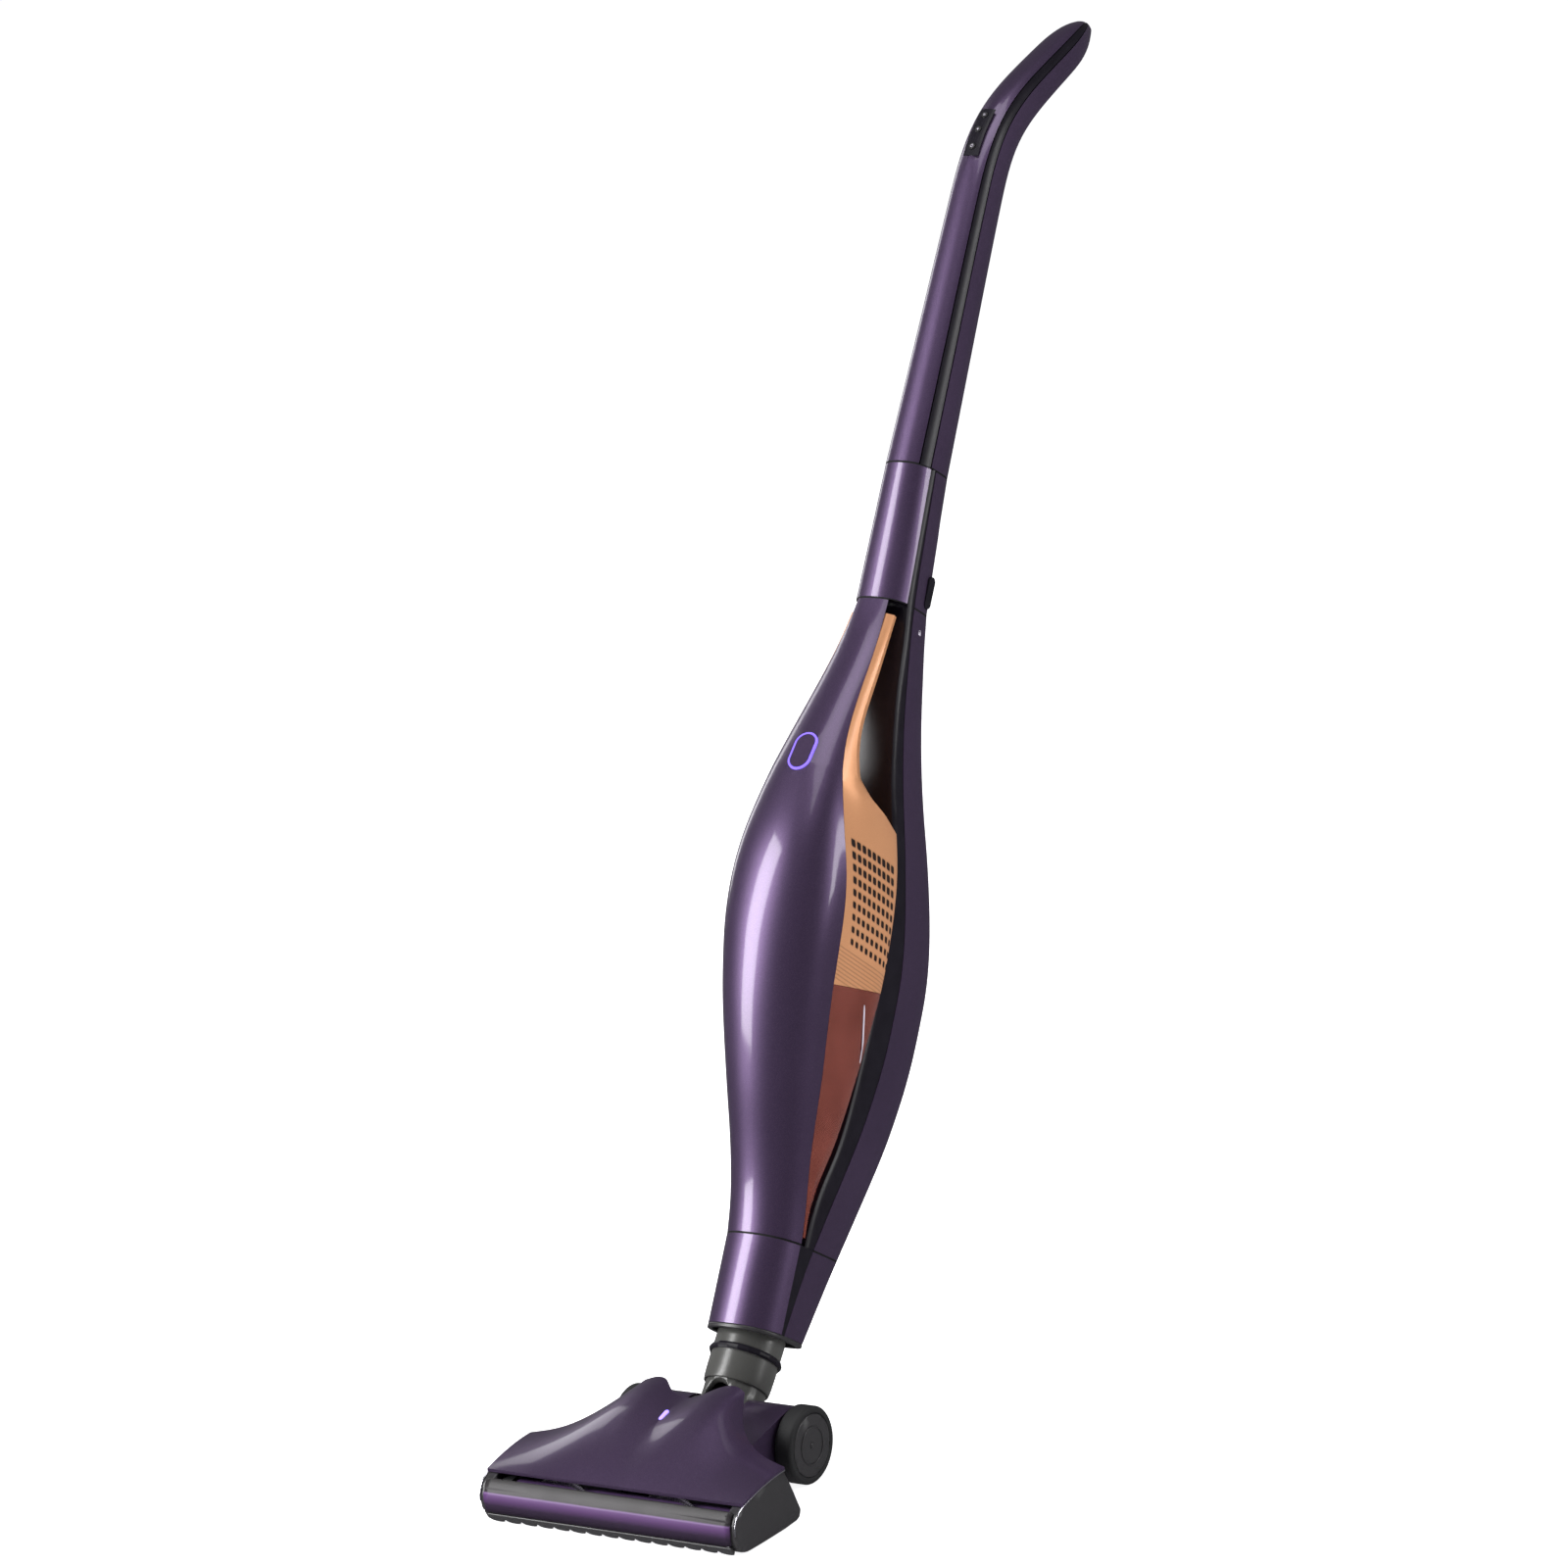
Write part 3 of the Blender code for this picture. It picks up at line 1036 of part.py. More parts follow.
def make_neck(neck):
    """Yoke on the pitch axis, swivelling sleeve, collar and release tab."""
    x = Vector((DRUM_HALF, 0, 0))
    yoke = piece("neck_yoke", rod(-x, x, DRUM_RADIUS, 28), "graphite", neck)
    tube = piece("yoke_tube", rod((0, 0, 0), (0, 0, YOKE_TOP), YOKE_RADIUS, 24), "graphite", neck)
    boolean(yoke, tube, "UNION")
    bore = piece("yoke_bore", rod((0, 0, -0.004), (0, 0, YOKE_TOP + 0.01), YOKE_RADIUS - 0.0040, 20),
                 "graphite", neck)
    boolean(yoke, bore, "DIFFERENCE")
    turn = RECLINE + NECK_TILT
    ahead = Vector((0, -math.cos(turn), math.sin(turn)))
    mouth = piece("yoke_mouth", rod((0, 0, 0), ahead * 0.05, 0.0125, 16), "graphite", neck)
    boolean(yoke, mouth, "DIFFERENCE")
    pins = rod((-0.030, 0, 0), (0.030, 0, 0), PIN_RADIUS + CLEAR, 12)
    boolean(yoke, piece("yoke_pin_hole", pins, "graphite", neck), "DIFFERENCE")
    sleeve = NECK_RADIUS
    inside, spigot = YOKE_RADIUS + 2 * CLEAR, SPIGOT_RADIUS
    outline = [(SLEEVE_LOW, sleeve - 0.0010), (SLEEVE_LOW + 0.004, sleeve), (SLEEVE_TOP - 0.004, sleeve),
               (SLEEVE_TOP, spigot + 0.002), (SLEEVE_TOP, spigot), (SPIGOT_TOP, spigot),
               (SPIGOT_TOP, spigot - WALL), (SLEEVE_TOP - 0.004, spigot - WALL), (YOKE_TOP + RUN, inside),
               (SLEEVE_LOW, inside)]
    rings = [disc((0, 0, along), (0, 0, 1), radius, 20) for along, radius in outline]
    elbow = piece("neck_elbow", loft(rings, through=True), "graphite", neck)
    low = COLLAR_AT
    outline = [(low, sleeve + GAP), (low, sleeve + 0.0010), (low + 0.0015, sleeve + 0.0018),
               (low + 0.0035, sleeve + 0.0018), (low + 0.0050, sleeve + 0.0010), (low + 0.0050, sleeve + GAP)]
    rings = [disc((0, 0, along), (0, 0, 1), radius, 20) for along, radius in outline]
    piece("neck_collar", loft(rings, through=True), "black_gloss", neck)
    under = sleeve + TAB_TRAVEL + GAP
    low = Vector((-0.0065, under, TAB_AT - 0.0080))
    high = Vector((0.0065, under + 0.0030, TAB_AT + 0.0080))
    tab = piece("neck_release_tab", block(low, high, 0.0010), "graphite", neck, (0, under, TAB_AT))
    stem = rod((0, YOKE_RADIUS + TAB_TRAVEL + RUN, TAB_AT), (0, under + 0.001, TAB_AT), 0.0016, 10)
    boolean(tab, piece("tab_stem", stem, "graphite", neck), "UNION")
    hole = rod((0, YOKE_RADIUS, TAB_AT), (0, under + 0.002, TAB_AT), 0.0016 + CLEAR, 10)
    boolean(elbow, piece("tab_hole", hole, "graphite", neck), "DIFFERENCE")


def make_hose(base):
    """Ribbed hose from the roller's chamber to the neck."""
    start = at_head(0, ROLLER_BACK + ROLLER_CHAMBER + WALL + RUN, HOSE_HEIGHT)
    end = Vector((0, PIVOT.y - DRUM_RADIUS - 0.0016, PIVOT.z))
    outline = []
    count = 5
    for i in range(count):
        outline.append((i / count, HOSE_RADIUS))
        outline.append(((i + 0.5) / count, HOSE_RADIUS + HOSE_RIB))
    outline.append((1, HOSE_RADIUS))
    axis = end - start
    outer = [disc(start + axis * share, axis, radius, 12) for share, radius in outline]
    inner = [disc(start + axis * share, axis, HOSE_RADIUS - 0.0014, 12) for share in (1, 0)]
    piece("suction_hose", loft(outer + inner, through=True), "rubber")
    room = rod(start - axis * 0.2, end, HOSE_RADIUS + HOSE_RIB + RUN, 14)
    boolean(base, piece("hose_hole", room, "graphite"), "DIFFERENCE")


def main():
    clear_scene()
    stick = empty("stick_frame", PIVOT, RECLINE)
    neck = empty("neck_frame", PIVOT, RECLINE + NECK_TILT)
    make_top_shell()
    make_end_caps()
    make_hose(make_base())
    make_window()
    make_roller()
    make_rear()
    make_neck(neck)
    make_lower_body(stick)
    spine = make_spine(stick)
    make_frame(stick)
    handle = make_handle(stick)
    make_air_path(stick)
    make_release(stick, spine)
    make_contacts(stick, spine)
    make_controls(stick, handle)
    shell = make_handheld_shell(stick)
    make_motor_housing(stick)
    dust_bin = make_bin(stick)
    hole = rod((0, INLET_Y, DOCK_FLOOR), (0, INLET_Y, DOCK_FLOOR + 0.012), INLET_RADIUS - 0.0016, 16)
    boolean(dust_bin, piece("inlet_hole", hole, "graphite", stick), "DIFFERENCE")
    make_power_button(stick, shell)
    make_handheld_insides(stick)


main()
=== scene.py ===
# %% [markdown]
# # A cordless stick vacuum, finished for the camera
# The real thing is a slim upright vacuum: a bowed stick, a bulb-shaped hand vacuum docked in it, and
# a low floor head on two wheels.  Its solids already exist as an engineer's model, so this lesson is
# about looks: smooth lacquered shells, a vented copper housing, a smoked dust bin and a brush head.
# The engineer's solids could be rendered as they are, but their faces are flat and their colours
# plain.  So each visible shell gets a smooth skin grown from its solid, and every piece a finish.

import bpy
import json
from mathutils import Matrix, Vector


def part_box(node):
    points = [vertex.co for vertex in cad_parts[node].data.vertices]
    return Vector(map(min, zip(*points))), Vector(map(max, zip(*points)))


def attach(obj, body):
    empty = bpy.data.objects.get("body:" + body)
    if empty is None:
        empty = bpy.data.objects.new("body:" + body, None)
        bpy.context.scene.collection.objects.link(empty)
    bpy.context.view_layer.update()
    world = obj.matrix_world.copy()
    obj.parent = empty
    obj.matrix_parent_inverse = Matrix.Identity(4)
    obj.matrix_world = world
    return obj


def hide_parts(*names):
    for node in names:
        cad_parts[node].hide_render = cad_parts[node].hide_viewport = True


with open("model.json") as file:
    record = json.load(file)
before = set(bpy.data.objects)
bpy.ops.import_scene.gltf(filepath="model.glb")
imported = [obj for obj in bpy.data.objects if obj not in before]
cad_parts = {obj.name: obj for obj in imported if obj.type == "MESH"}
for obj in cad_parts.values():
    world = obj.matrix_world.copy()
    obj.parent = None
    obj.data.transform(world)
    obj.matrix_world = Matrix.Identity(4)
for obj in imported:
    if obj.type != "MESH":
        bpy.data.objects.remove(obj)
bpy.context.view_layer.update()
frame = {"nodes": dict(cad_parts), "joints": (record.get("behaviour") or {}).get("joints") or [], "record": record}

import json
import math

import bmesh
import bpy
from mathutils import Matrix, Vector
from mathutils.bvhtree import BVHTree

nodes = frame["nodes"]

# %% [markdown]
# ## Where things are
# The stick leans back, so most of its details are easier to place in the stick's own axes: x across,
# y towards its back and w along it, counted from the axle that it pitches on.  One matrix turns such
# a place into a place in the room.  The axle is read from the model's joints, never typed in.

# %% The stick's own axes
joints = {joint["name"]: joint for joint in frame["joints"]}
AXLE = Vector(joints["neck_pitch"]["pos_m"])
LEAN = math.atan2(joints["fan_spin"]["axis"][1], joints["fan_spin"]["axis"][2])
STICK = Matrix.Translation(AXLE) @ Matrix.Rotation(-LEAN, 4, "X")
BODY_OF = {node: body for body, members in frame["record"]["behaviour"]["bodies"].items()
           for node in members}
print("axle at", [round(v, 4) for v in AXLE], "stick leans", round(math.degrees(LEAN), 1), "degrees")

# %% [markdown]
# ## Writing shaders as sums
# A procedural finish is arithmetic on a surface point: noise times a colour, a mask minus a line.
# Blender stores it as nodes, which are slow to wire by hand.  The class Sum wraps one socket, and
# an ordinary Python expression on it adds the Math nodes.  Paint holds one material, and its method
# node makes any other node: its settings first, then its sockets.

# %% Sum and Paint
class Sum:
    """A shader socket that can be added, multiplied and compared."""

    def __init__(self, paint, socket):
        self.paint, self.socket = paint, socket

    def maths(self, operation, first, second=0.0):
        return self.paint.node("ShaderNodeMath", {"operation": operation}, {0: first, 1: second})

    def __add__(self, other):
        return self.maths("ADD", self, other)

    def __radd__(self, other):
        return self.maths("ADD", other, self)

    def __sub__(self, other):
        return self.maths("SUBTRACT", self, other)

    def __rsub__(self, other):
        return self.maths("SUBTRACT", other, self)

    def __mul__(self, other):
        return self.maths("MULTIPLY", self, other)

    def __rmul__(self, other):
        return self.maths("MULTIPLY", other, self)

    def __truediv__(self, other):
        return self.maths("DIVIDE", self, other)

    def __lt__(self, other):
        return self.maths("LESS_THAN", self, other)

    def __gt__(self, other):
        return self.maths("GREATER_THAN", self, other)

    def __pow__(self, other):
        return self.maths("POWER", self, other)

    def __abs__(self):
        return self.maths("ABSOLUTE", self)

    def part(self):
        """What is left after the whole number."""
        return self.maths("FRACT", self)

    def smaller(self, other):
        return self.maths("MINIMUM", self, other)


class Paint:
    """One material; its shader's constants go straight on the shader's sockets."""

    def __init__(self, name, **constants):
        self.material = bpy.data.materials.new(name)
        self.material.use_nodes = True
        self.tree = self.material.node_tree
        self.shader = self.tree.nodes["Principled BSDF"]
        for socket, value in constants.items():
            self.shader.inputs[socket.replace("_", " ")].default_value = value
        self.place = self.node("ShaderNodeTexCoord", out="Object")

    def node(self, kind, settings=None, sockets=None, out=0):
        made = self.tree.nodes.new(kind)
        for setting, value in (settings or {}).items():
            if setting == "stops":
                while len(made.color_ramp.elements) < len(value):
                    made.color_ramp.elements.new(0.5)
                for element, (position, colour) in zip(made.color_ramp.elements, value):
                    element.position, element.color = position, colour
            else:
                setattr(made, setting, value)
        for socket, value in (sockets or {}).items():
            self.feed(made.inputs[socket], value)
        return Sum(self, made.outputs[out])

    def feed(self, socket, value):
        if isinstance(value, Sum):
            self.tree.links.new(value.socket, socket)
        else:
            socket.default_value = value

    def set(self, **values):
        for socket, value in values.items():
            self.feed(self.shader.inputs[socket.replace("_", " ")], value)

    def noise(self, scale, detail=2.0, stretch=None):
        place = self.place
        if stretch:
            place = self.node("ShaderNodeMapping", {}, {"Vector": place, "Scale": stretch})
        return self.node("ShaderNodeTexNoise", {}, {"Vector": place, "Scale": scale, "Detail": detail})

    def cells(self, scale):
        """How far a point lies from the nearest of many scattered centres."""
        return self.node("ShaderNodeTexVoronoi", {}, {"Vector": self.place, "Scale": scale}, "Distance")

    def blend(self, factor, first, second):
        """One colour turning into another as factor goes from 0 to 1."""
        return self.node("ShaderNodeMix", {"data_type": "RGBA"}, {0: factor, 6: first, 7: second}, out=2)

    def relief(self, height, depth):
        bump = self.node("ShaderNodeBump", {}, {"Height": height, "Distance": depth, "Strength": 1.0})
        self.set(Normal=bump)

    def axes(self, turn, origin):
        """x, y and z of the surface point in axes that lean back by turn from an origin."""
        local = self.node("ShaderNodeMapping", {"vector_type": "TEXTURE"},
                          {"Vector": self.place, "Location": origin, "Rotation": (-turn, 0, 0)})
        split = self.node("ShaderNodeSeparateXYZ", {}, {0: local})
        return [Sum(self, output) for output in split.socket.node.outputs]


print("shader helpers ready")

# %% [markdown]
# ## Purple lacquer
# The big shells are plastic with a metallic purple coat: tiny aluminium flakes in violet paint under
# clear gloss.  A plain metal would be too harsh and a plain plastic too dull, so the base is partly
# metallic, the flakes vary its colour and roughness over less than a millimetre, and the coat adds the
# crisp upper reflection.  A slow noise keeps large areas from looking computed.  Where one shell ends
# and the next begins, the finish turns to a thin dark line of painted shade, the shadow in the gap
# between them, at heights read from the shells.  The line runs right round the stick.

# %% Lacquer
def rgb(red, green, blue):
    """A colour given as on a screen, 0 to 255, turned to linear light."""
    linear = [((v / 255 + 0.055) / 1.055) ** 2.4 if v > 10 else v / 3294.6 for v in (red, green, blue)]
    return (*linear, 1.0)


def height_along_stick(node, end):
    """How far along the stick a node starts (end is min) or stops (end is max)."""
    return end((STICK.inverted() @ vert.co).z for vert in nodes[node].data.vertices)


SEAMS = [height_along_stick("lower_front_shell", max), height_along_stick("frame_front_shell", min),
         height_along_stick("frame_front_shell", max)]
SEAM_HALF = 0.0008                           # half the width of the dark line along a seam
# the colour of the painted shade along a seam, where the gap between two shells lies in shadow
SEAM_SHADE = rgb(6, 4, 9)
FLAKES = 2600.0                              # to a metre
METAL_SHARE = 0.72
GLOSS = 0.55


def lacquer(name, deep, bright):
    paint = Paint(name, Coat_Roughness=0.09, Coat_IOR=1.45)
    flakes = paint.cells(FLAKES)
    cloud = paint.noise(9.0, 3.0)
    w = paint.axes(LEAN, AXLE)[2]
    # mask of the painted shade line along each seam
    seam_shade = (abs(w - SEAMS[0]).smaller(abs(w - SEAMS[1])).smaller(abs(w - SEAMS[2]))) < SEAM_HALF
    coat = paint.blend(0.25 + 0.75 * flakes + 0.3 * (cloud - 0.5), deep, bright)
    paint.set(Base_Color=paint.blend(seam_shade, coat, SEAM_SHADE), Metallic=METAL_SHARE - METAL_SHARE * seam_shade,
              Coat_Weight=GLOSS - 0.50 * seam_shade, Roughness=0.30 + 0.10 * flakes + 0.05 * cloud + 0.4 * seam_shade)
    paint.relief(paint.noise(420.0, 1.0) * 0.6 + 0.4 * flakes - 10.0 * seam_shade, 0.000012)
    return paint.material


purple = lacquer("purple_lacquer", rgb(48, 34, 60), rgb(92, 74, 106))
print("purple lacquer: flakes of", round(1000 / FLAKES, 2), "mm, seams at", [round(w, 3) for w in SEAMS])

# %% [markdown]
# ## Piano black
# The stick's inner liner, the handle's core and the lower core are glossy black that has been wiped
# often.  What tells it from a hole is its reflection, which is soft and uneven: fine wiping marks and
# a little dust, as noise stretched along the stick.

# %% Piano black
def piano_black(name, roughness):
    paint = Paint(name, Specular_IOR_Level=0.3)
    wiped = paint.noise(60.0, 4.0, stretch=(6.0, 1.0, 1.0))
    paint.set(Base_Color=paint.blend(wiped, (0.004, 0.003, 0.006, 1), (0.010, 0.008, 0.014, 1)),
              Roughness=roughness + 0.10 * wiped * wiped)
    paint.relief(paint.noise(300.0, 1.0), 0.000008)
    return paint.material


black = piano_black("piano_black", 0.30)
black_satin = piano_black("black_satin", 0.34)
print("piano black ready")

# %% [markdown]
# ## Moulded greys and rubber
# The neck, the end caps, the sole and the wheels' hubs are dark plastic with a spark-eroded grain,
# which scatters light; the tyres, the hose and the belt are rubber, rougher still.  One recipe serves
# both: a base colour, a roughness, and a grain size and depth for the bump.

# %% Grained plastic and rubber
def grained(name, colour, roughness, grain, depth, speck=0.15, **constants):
    paint = Paint(name, **constants)
    fine, slow = paint.noise(grain, 2.0), paint.noise(25.0, 3.0)
    darker = tuple(v * (1 - speck) for v in colour[:3]) + (1,)
    lighter = tuple(v * (1 + speck) for v in colour[:3]) + (1,)
    paint.set(Base_Color=paint.blend(0.5 * fine + 0.5 * slow, darker, lighter),
              Roughness=roughness - 0.06 + 0.12 * slow)
    paint.relief(fine, depth)
    return paint.material


graphite = grained("graphite_plastic", rgb(74, 74, 72), 0.30, 1500.0, 0.00004)
charcoal = grained("charcoal_plastic", rgb(46, 45, 47), 0.36, 1500.0, 0.00005)
soot = grained("sole_plastic", rgb(34, 34, 37), 0.50, 1200.0, 0.00008)
rubber = grained("black_rubber", rgb(26, 26, 28), 0.66, 900.0, 0.00008)
white = grained("filter_fleece", rgb(214, 212, 206), 0.85, 700.0, 0.00015)
felt = grained("felt", rgb(58, 52, 62), 0.95, 1800.0, 0.0004, 0.5, Sheen_Weight=0.6, Sheen_Roughness=0.5)
bristle = grained("bristle_nylon", rgb(46, 38, 56), 0.45, 2400.0, 0.0001, 0.5, Sheen_Weight=0.3)
board = grained("board_laminate", rgb(22, 92, 54), 0.40, 600.0, 0.00003)
wrap = grained("cell_wrap", rgb(40, 74, 150), 0.30, 500.0, 0.00003)
marking = grained("pale_marking", rgb(196, 190, 204), 0.45, 1200.0, 0.00002)
print("grained finishes ready")

# %% [markdown]
# ## Metals
# Springs, axles and the motor's can are steel; the charging contacts are gold-plated brass; a thin
# bright strip edges the end caps.  Metal shows how it was worked, so the bump is noise stretched
# round or along the piece, as brushing leaves it.

# %% Worked metal
def metal(name, colour, roughness, stretch):
    paint = Paint(name, Metallic=1.0)
    brushed = paint.noise(260.0, 3.0, stretch=stretch)
    paint.set(Base_Color=paint.blend(brushed, tuple(v * 0.82 for v in colour[:3]) + (1,), colour),
              Roughness=roughness + 0.12 * brushed)
    paint.relief(brushed, 0.00002)
    return paint.material


steel = metal("turned_steel", rgb(186, 186, 190), 0.24, (0.2, 6.0, 6.0))
gold = metal("plated_brass", rgb(214, 178, 110), 0.22, (1.0, 4.0, 1.0))
bright = metal("bright_trim", rgb(226, 224, 232), 0.12, (1.0, 3.0, 3.0))
print("metals ready")

# %% [markdown]
# ## Copper housing with its vents
# The hand vacuum's sides are copper-coloured, with a grid of nine by nine small exhaust holes that
# fades into fine ribs.  Cutting 162 real holes through a curved skin would need thousands of faces,
# so the grid is drawn by the finish: two slanted coordinates count the rows and columns, a rounded
# square marks each hole, and the mark dulls the metal, sinks the surface and darkens the colour with
# painted shade: near-black inside each hole, a little darker round it and along the rib grooves.

# %% Copper
VENT_CORNER = (-0.0657, 0.4621)      # first hole's corner: depth and height in the stick's axes
VENT_ROW = (0.0740, -0.0030)         # from there along a row
VENT_COLUMN = (0.0270, -0.0815)      # and down a column
VENT_COUNT = 9                       # rows, and holes to a row
VENT_CLEAR = 0.018                   # no holes nearer than this to the middle plane
RIB_AREA = (1.03, 1.36)              # from where to where fine ribs follow, in lengths of the grid
RIBS_TO_ROW = 3.0


def copper_with_vents(name):
    paint = Paint(name, Metallic=0.35, Coat_Weight=0.25, Coat_Roughness=0.15)
    x, y, w = paint.axes(LEAN, AXLE)
    area = VENT_ROW[0] * VENT_COLUMN[1] - VENT_COLUMN[0] * VENT_ROW[1]
    dy, dw = y - VENT_CORNER[0], w - VENT_CORNER[1]
    across = (dy * VENT_COLUMN[1] - dw * VENT_COLUMN[0]) / area
    down = (dw * VENT_ROW[0] - dy * VENT_ROW[1]) / area
    column, row = (across * VENT_COUNT).part() - 0.5, (down * VENT_COUNT).part() - 0.5
    size = 0.36 - 0.09 * down
    square = (abs(column) ** 4.0 + (abs(row) * 1.15) ** 4.0) ** 0.25
    inside = (across > 0.0) * (across < 1.0) * (down > 0.0) * (down < 1.0)
    side = abs(x) > VENT_CLEAR
    hole = (square < size) * inside * side
    rim = (square < size + 0.09) * inside * side
    low = (down > RIB_AREA[0]) * (down < RIB_AREA[1]) * side
    ribs = (down * (RIBS_TO_ROW * VENT_COUNT)).part()
    groove = (ribs < 0.35) * low
    cloud, flakes = paint.noise(14.0, 3.0), paint.cells(2200.0)
    skin = paint.blend(0.3 + 0.4 * flakes + 0.3 * cloud, rgb(190, 126, 82), rgb(228, 166, 120))
    # painted shade: the copper darkens in a ring round each hole and along the grooves between the ribs
    shaded = paint.blend(0.35 * (rim - hole) + 0.35 * groove, skin, rgb(120, 74, 48))
    # painted shade: inside each hole the colour is near-black, the shade in the hole
    paint.set(Base_Color=paint.blend(hole, shaded, rgb(30, 16, 13)),
              Roughness=0.34 + 0.08 * cloud + 0.25 * hole)
    paint.relief(1.0 - hole - 0.5 * groove + 0.02 * paint.noise(900.0), 0.0006)
    return paint.material


copper = copper_with_vents("copper_housing")
print("vents:", VENT_COUNT * VENT_COUNT, "holes a side")

# %% [markdown]
# ## See-through plastics and lit lenses
# The dust bin is reddish-brown smoked plastic and the brush roller violet.  Both let part of the
# light through, so what lies behind shows faintly.  The power button's ring and the slit on
# the head are violet lenses with a lamp behind them, so they also give out light, a little unevenly.

# %% Smoked plastic and lamps
def smoked(name, thin, thick, clearness):
    paint = Paint(name, Transmission_Weight=clearness, IOR=1.46, Coat_Weight=0.5, Coat_Roughness=0.03)
    haze = paint.noise(30.0, 3.0)
    paint.set(Base_Color=paint.blend(haze, thick, thin), Roughness=0.05 + 0.1 * haze)
    paint.relief(paint.noise(350.0, 1.0), 0.00001)
    return paint.material


def lamp(name, colour, glow, strength):
    paint = Paint(name, Roughness=0.25, Emission_Strength=strength, Coat_Weight=0.5)
    flicker = paint.noise(120.0, 2.0)
    paint.set(Base_Color=colour, Emission_Color=paint.blend(flicker, colour, glow))
    paint.relief(flicker, 0.00001)
    return paint.material


bin_clear = smoked("smoked_red_brown", rgb(150, 78, 66), rgb(104, 48, 38), 0.35)
roller_violet = smoked("roller_violet", rgb(120, 92, 140), rgb(90, 66, 112), 0.15)
ring_light = lamp("ring_light", rgb(96, 76, 190), rgb(132, 110, 235), 1.6)
slit_light = lamp("slit_light", rgb(120, 100, 220), rgb(160, 140, 250), 2.4)
print("smoked plastics and lamps ready")

# %% [markdown]
# The roller's window is violet, with light and shade painted on as colour bands: a grey painted
# reflection along its top edge, a lighter line of painted highlight below that, the violet middle, and
# painted shade that darkens to nearly black at the bottom.  A colour ramp on the height above the
# floor gives the bands, and the heights come from the window's own box.

# %% Banded window with painted light
def banded(name, node, clearness, stops):
    low, high = (corner[2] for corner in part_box(node))
    paint = Paint(name, Transmission_Weight=clearness, IOR=1.46, Specular_IOR_Level=0.25)
    waver = 0.04 * paint.noise(60.0, stretch=(0.2, 1, 1))
    height = paint.axes(0.0, (0, 0, low))[2] / (high - low) + waver
    paint.set(Base_Color=paint.node("ShaderNodeValToRGB", {"stops": stops}, {0: height}),
              Roughness=0.34 + 0.12 * paint.noise(30.0, 3.0))
    paint.relief(paint.noise(350.0, 1.0), 0.00001)
    return paint.material


# stops from the floor up: painted shade to nearly black, the violet middle, a line of painted highlight, a grey
# painted reflection at the top
window_painted_light = banded("violet_window", "roller_window", 0.12, [
    (0.0, rgb(20, 14, 24)), (0.30, rgb(46, 32, 54)), (0.52, rgb(84, 54, 100)), (0.60, rgb(92, 60, 110)),
    (0.64, rgb(122, 96, 140)), (0.68, rgb(52, 48, 52)), (1.0, rgb(44, 42, 43))])

# %% [markdown]
# ## Smooth skins
# An engineer's solid is exact at its corners and flat between them.  Three ways lead to a smooth
# shell: shade it smooth, which leaves dents in every reflection; model it again; or take a copy, join
# its loose triangles to quads, keep its real edges by a crease, and subdivide.  The copy is quick and
# stays true to the solid.  A crease a little under 1 rounds the edges, which is what catches light.
# The long shells keep theirs at 1 and sharp, so that their seams run straight.

# %% Grow a skin
MERGE = 0.00001                              # points this close are one
CREASE_FROM = math.radians(32)               # an edge that turns by more than this is a real edge
REFINED = 2                                  # how often each face is split in four


def skin(node, material, keep):
    """A smooth copy of a node; keep says how far its real edges stay, 1 for all the way."""
    solid = nodes[node]
    bm = bmesh.new()
    bm.from_mesh(solid.data)
    bmesh.ops.remove_doubles(bm, verts=bm.verts, dist=MERGE)
    bmesh.ops.join_triangles(bm, faces=bm.faces, angle_face_threshold=math.radians(35),
                             angle_shape_threshold=math.radians(85), cmp_seam=False, cmp_sharp=False,
                             cmp_uvs=False, cmp_vcols=False, cmp_materials=False)
    crease = bm.edges.layers.float.new("crease_edge")
    for edge in bm.edges:
        if len(edge.link_faces) != 2 or edge.calc_face_angle() > CREASE_FROM:
            edge[crease] = keep
            edge.smooth = keep < 1.0
    made = finish_piece(node + "_skin", bm, material, BODY_OF[node])
    refine = made.modifiers.new("refine", "SUBSURF")
    refine.levels = refine.render_levels = REFINED
    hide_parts(node)


def finish_piece(name, bm, material, body):
    """Turn a bmesh into a smooth piece that rides on a body."""
    mesh = bpy.data.meshes.new(name)
    bm.to_mesh(mesh)
    bm.free()
    mesh.shade_smooth()
    made = bpy.data.objects.new(name, mesh)
    bpy.context.scene.collection.objects.link(made)
    mesh.materials.append(material)
    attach(made, body)
    return made


# %% [markdown]
# ## Dress the shells
# Every outer shell gets a skin in its finish: purple outside, black between, copper and smoked
# plastic on the hand vacuum, dark plastic round the neck and the head's ends.

# %% Skins
PURPLE = ["head_top_shell", "wheel_housing_left", "wheel_housing_right", "lower_front_shell", "spine_shell",
          "frame_front_shell", "handle_front_shell", "handle_rear_shell", "handheld_front_shell"]
BLACK = ["spine_liner", "lower_core", "handle_core"]
GREY = ["neck_yoke", "neck_elbow", "neck_release_tab"]
DARK = ["hem_trim", "end_cap_left", "end_cap_right", "wheel_hub_left", "wheel_hub_right"]
RUBBER = ["wheel_tyre_left", "wheel_tyre_right", "suction_hose"]
SKINS = [(PURPLE, purple, 1.0), (BLACK, black, 1.0), (["motor_housing"], copper, 1.0),
         (["dust_bin"], bin_clear, 1.0), (["roller_window"], window_painted_light, 0.92), (GREY, graphite, 0.95),
         (DARK, charcoal, 0.95), (RUBBER, rubber, 0.8)]
for members, material, keep in SKINS:
    for node in members:
        skin(node, material, keep)
print(sum(len(members) for members, _, _ in SKINS), "skins grown")

# %% [markdown]
# ## Finish the pieces that stay
# Small flat pieces and the insides already have the right shape, so they keep their solids and only
# swap materials.

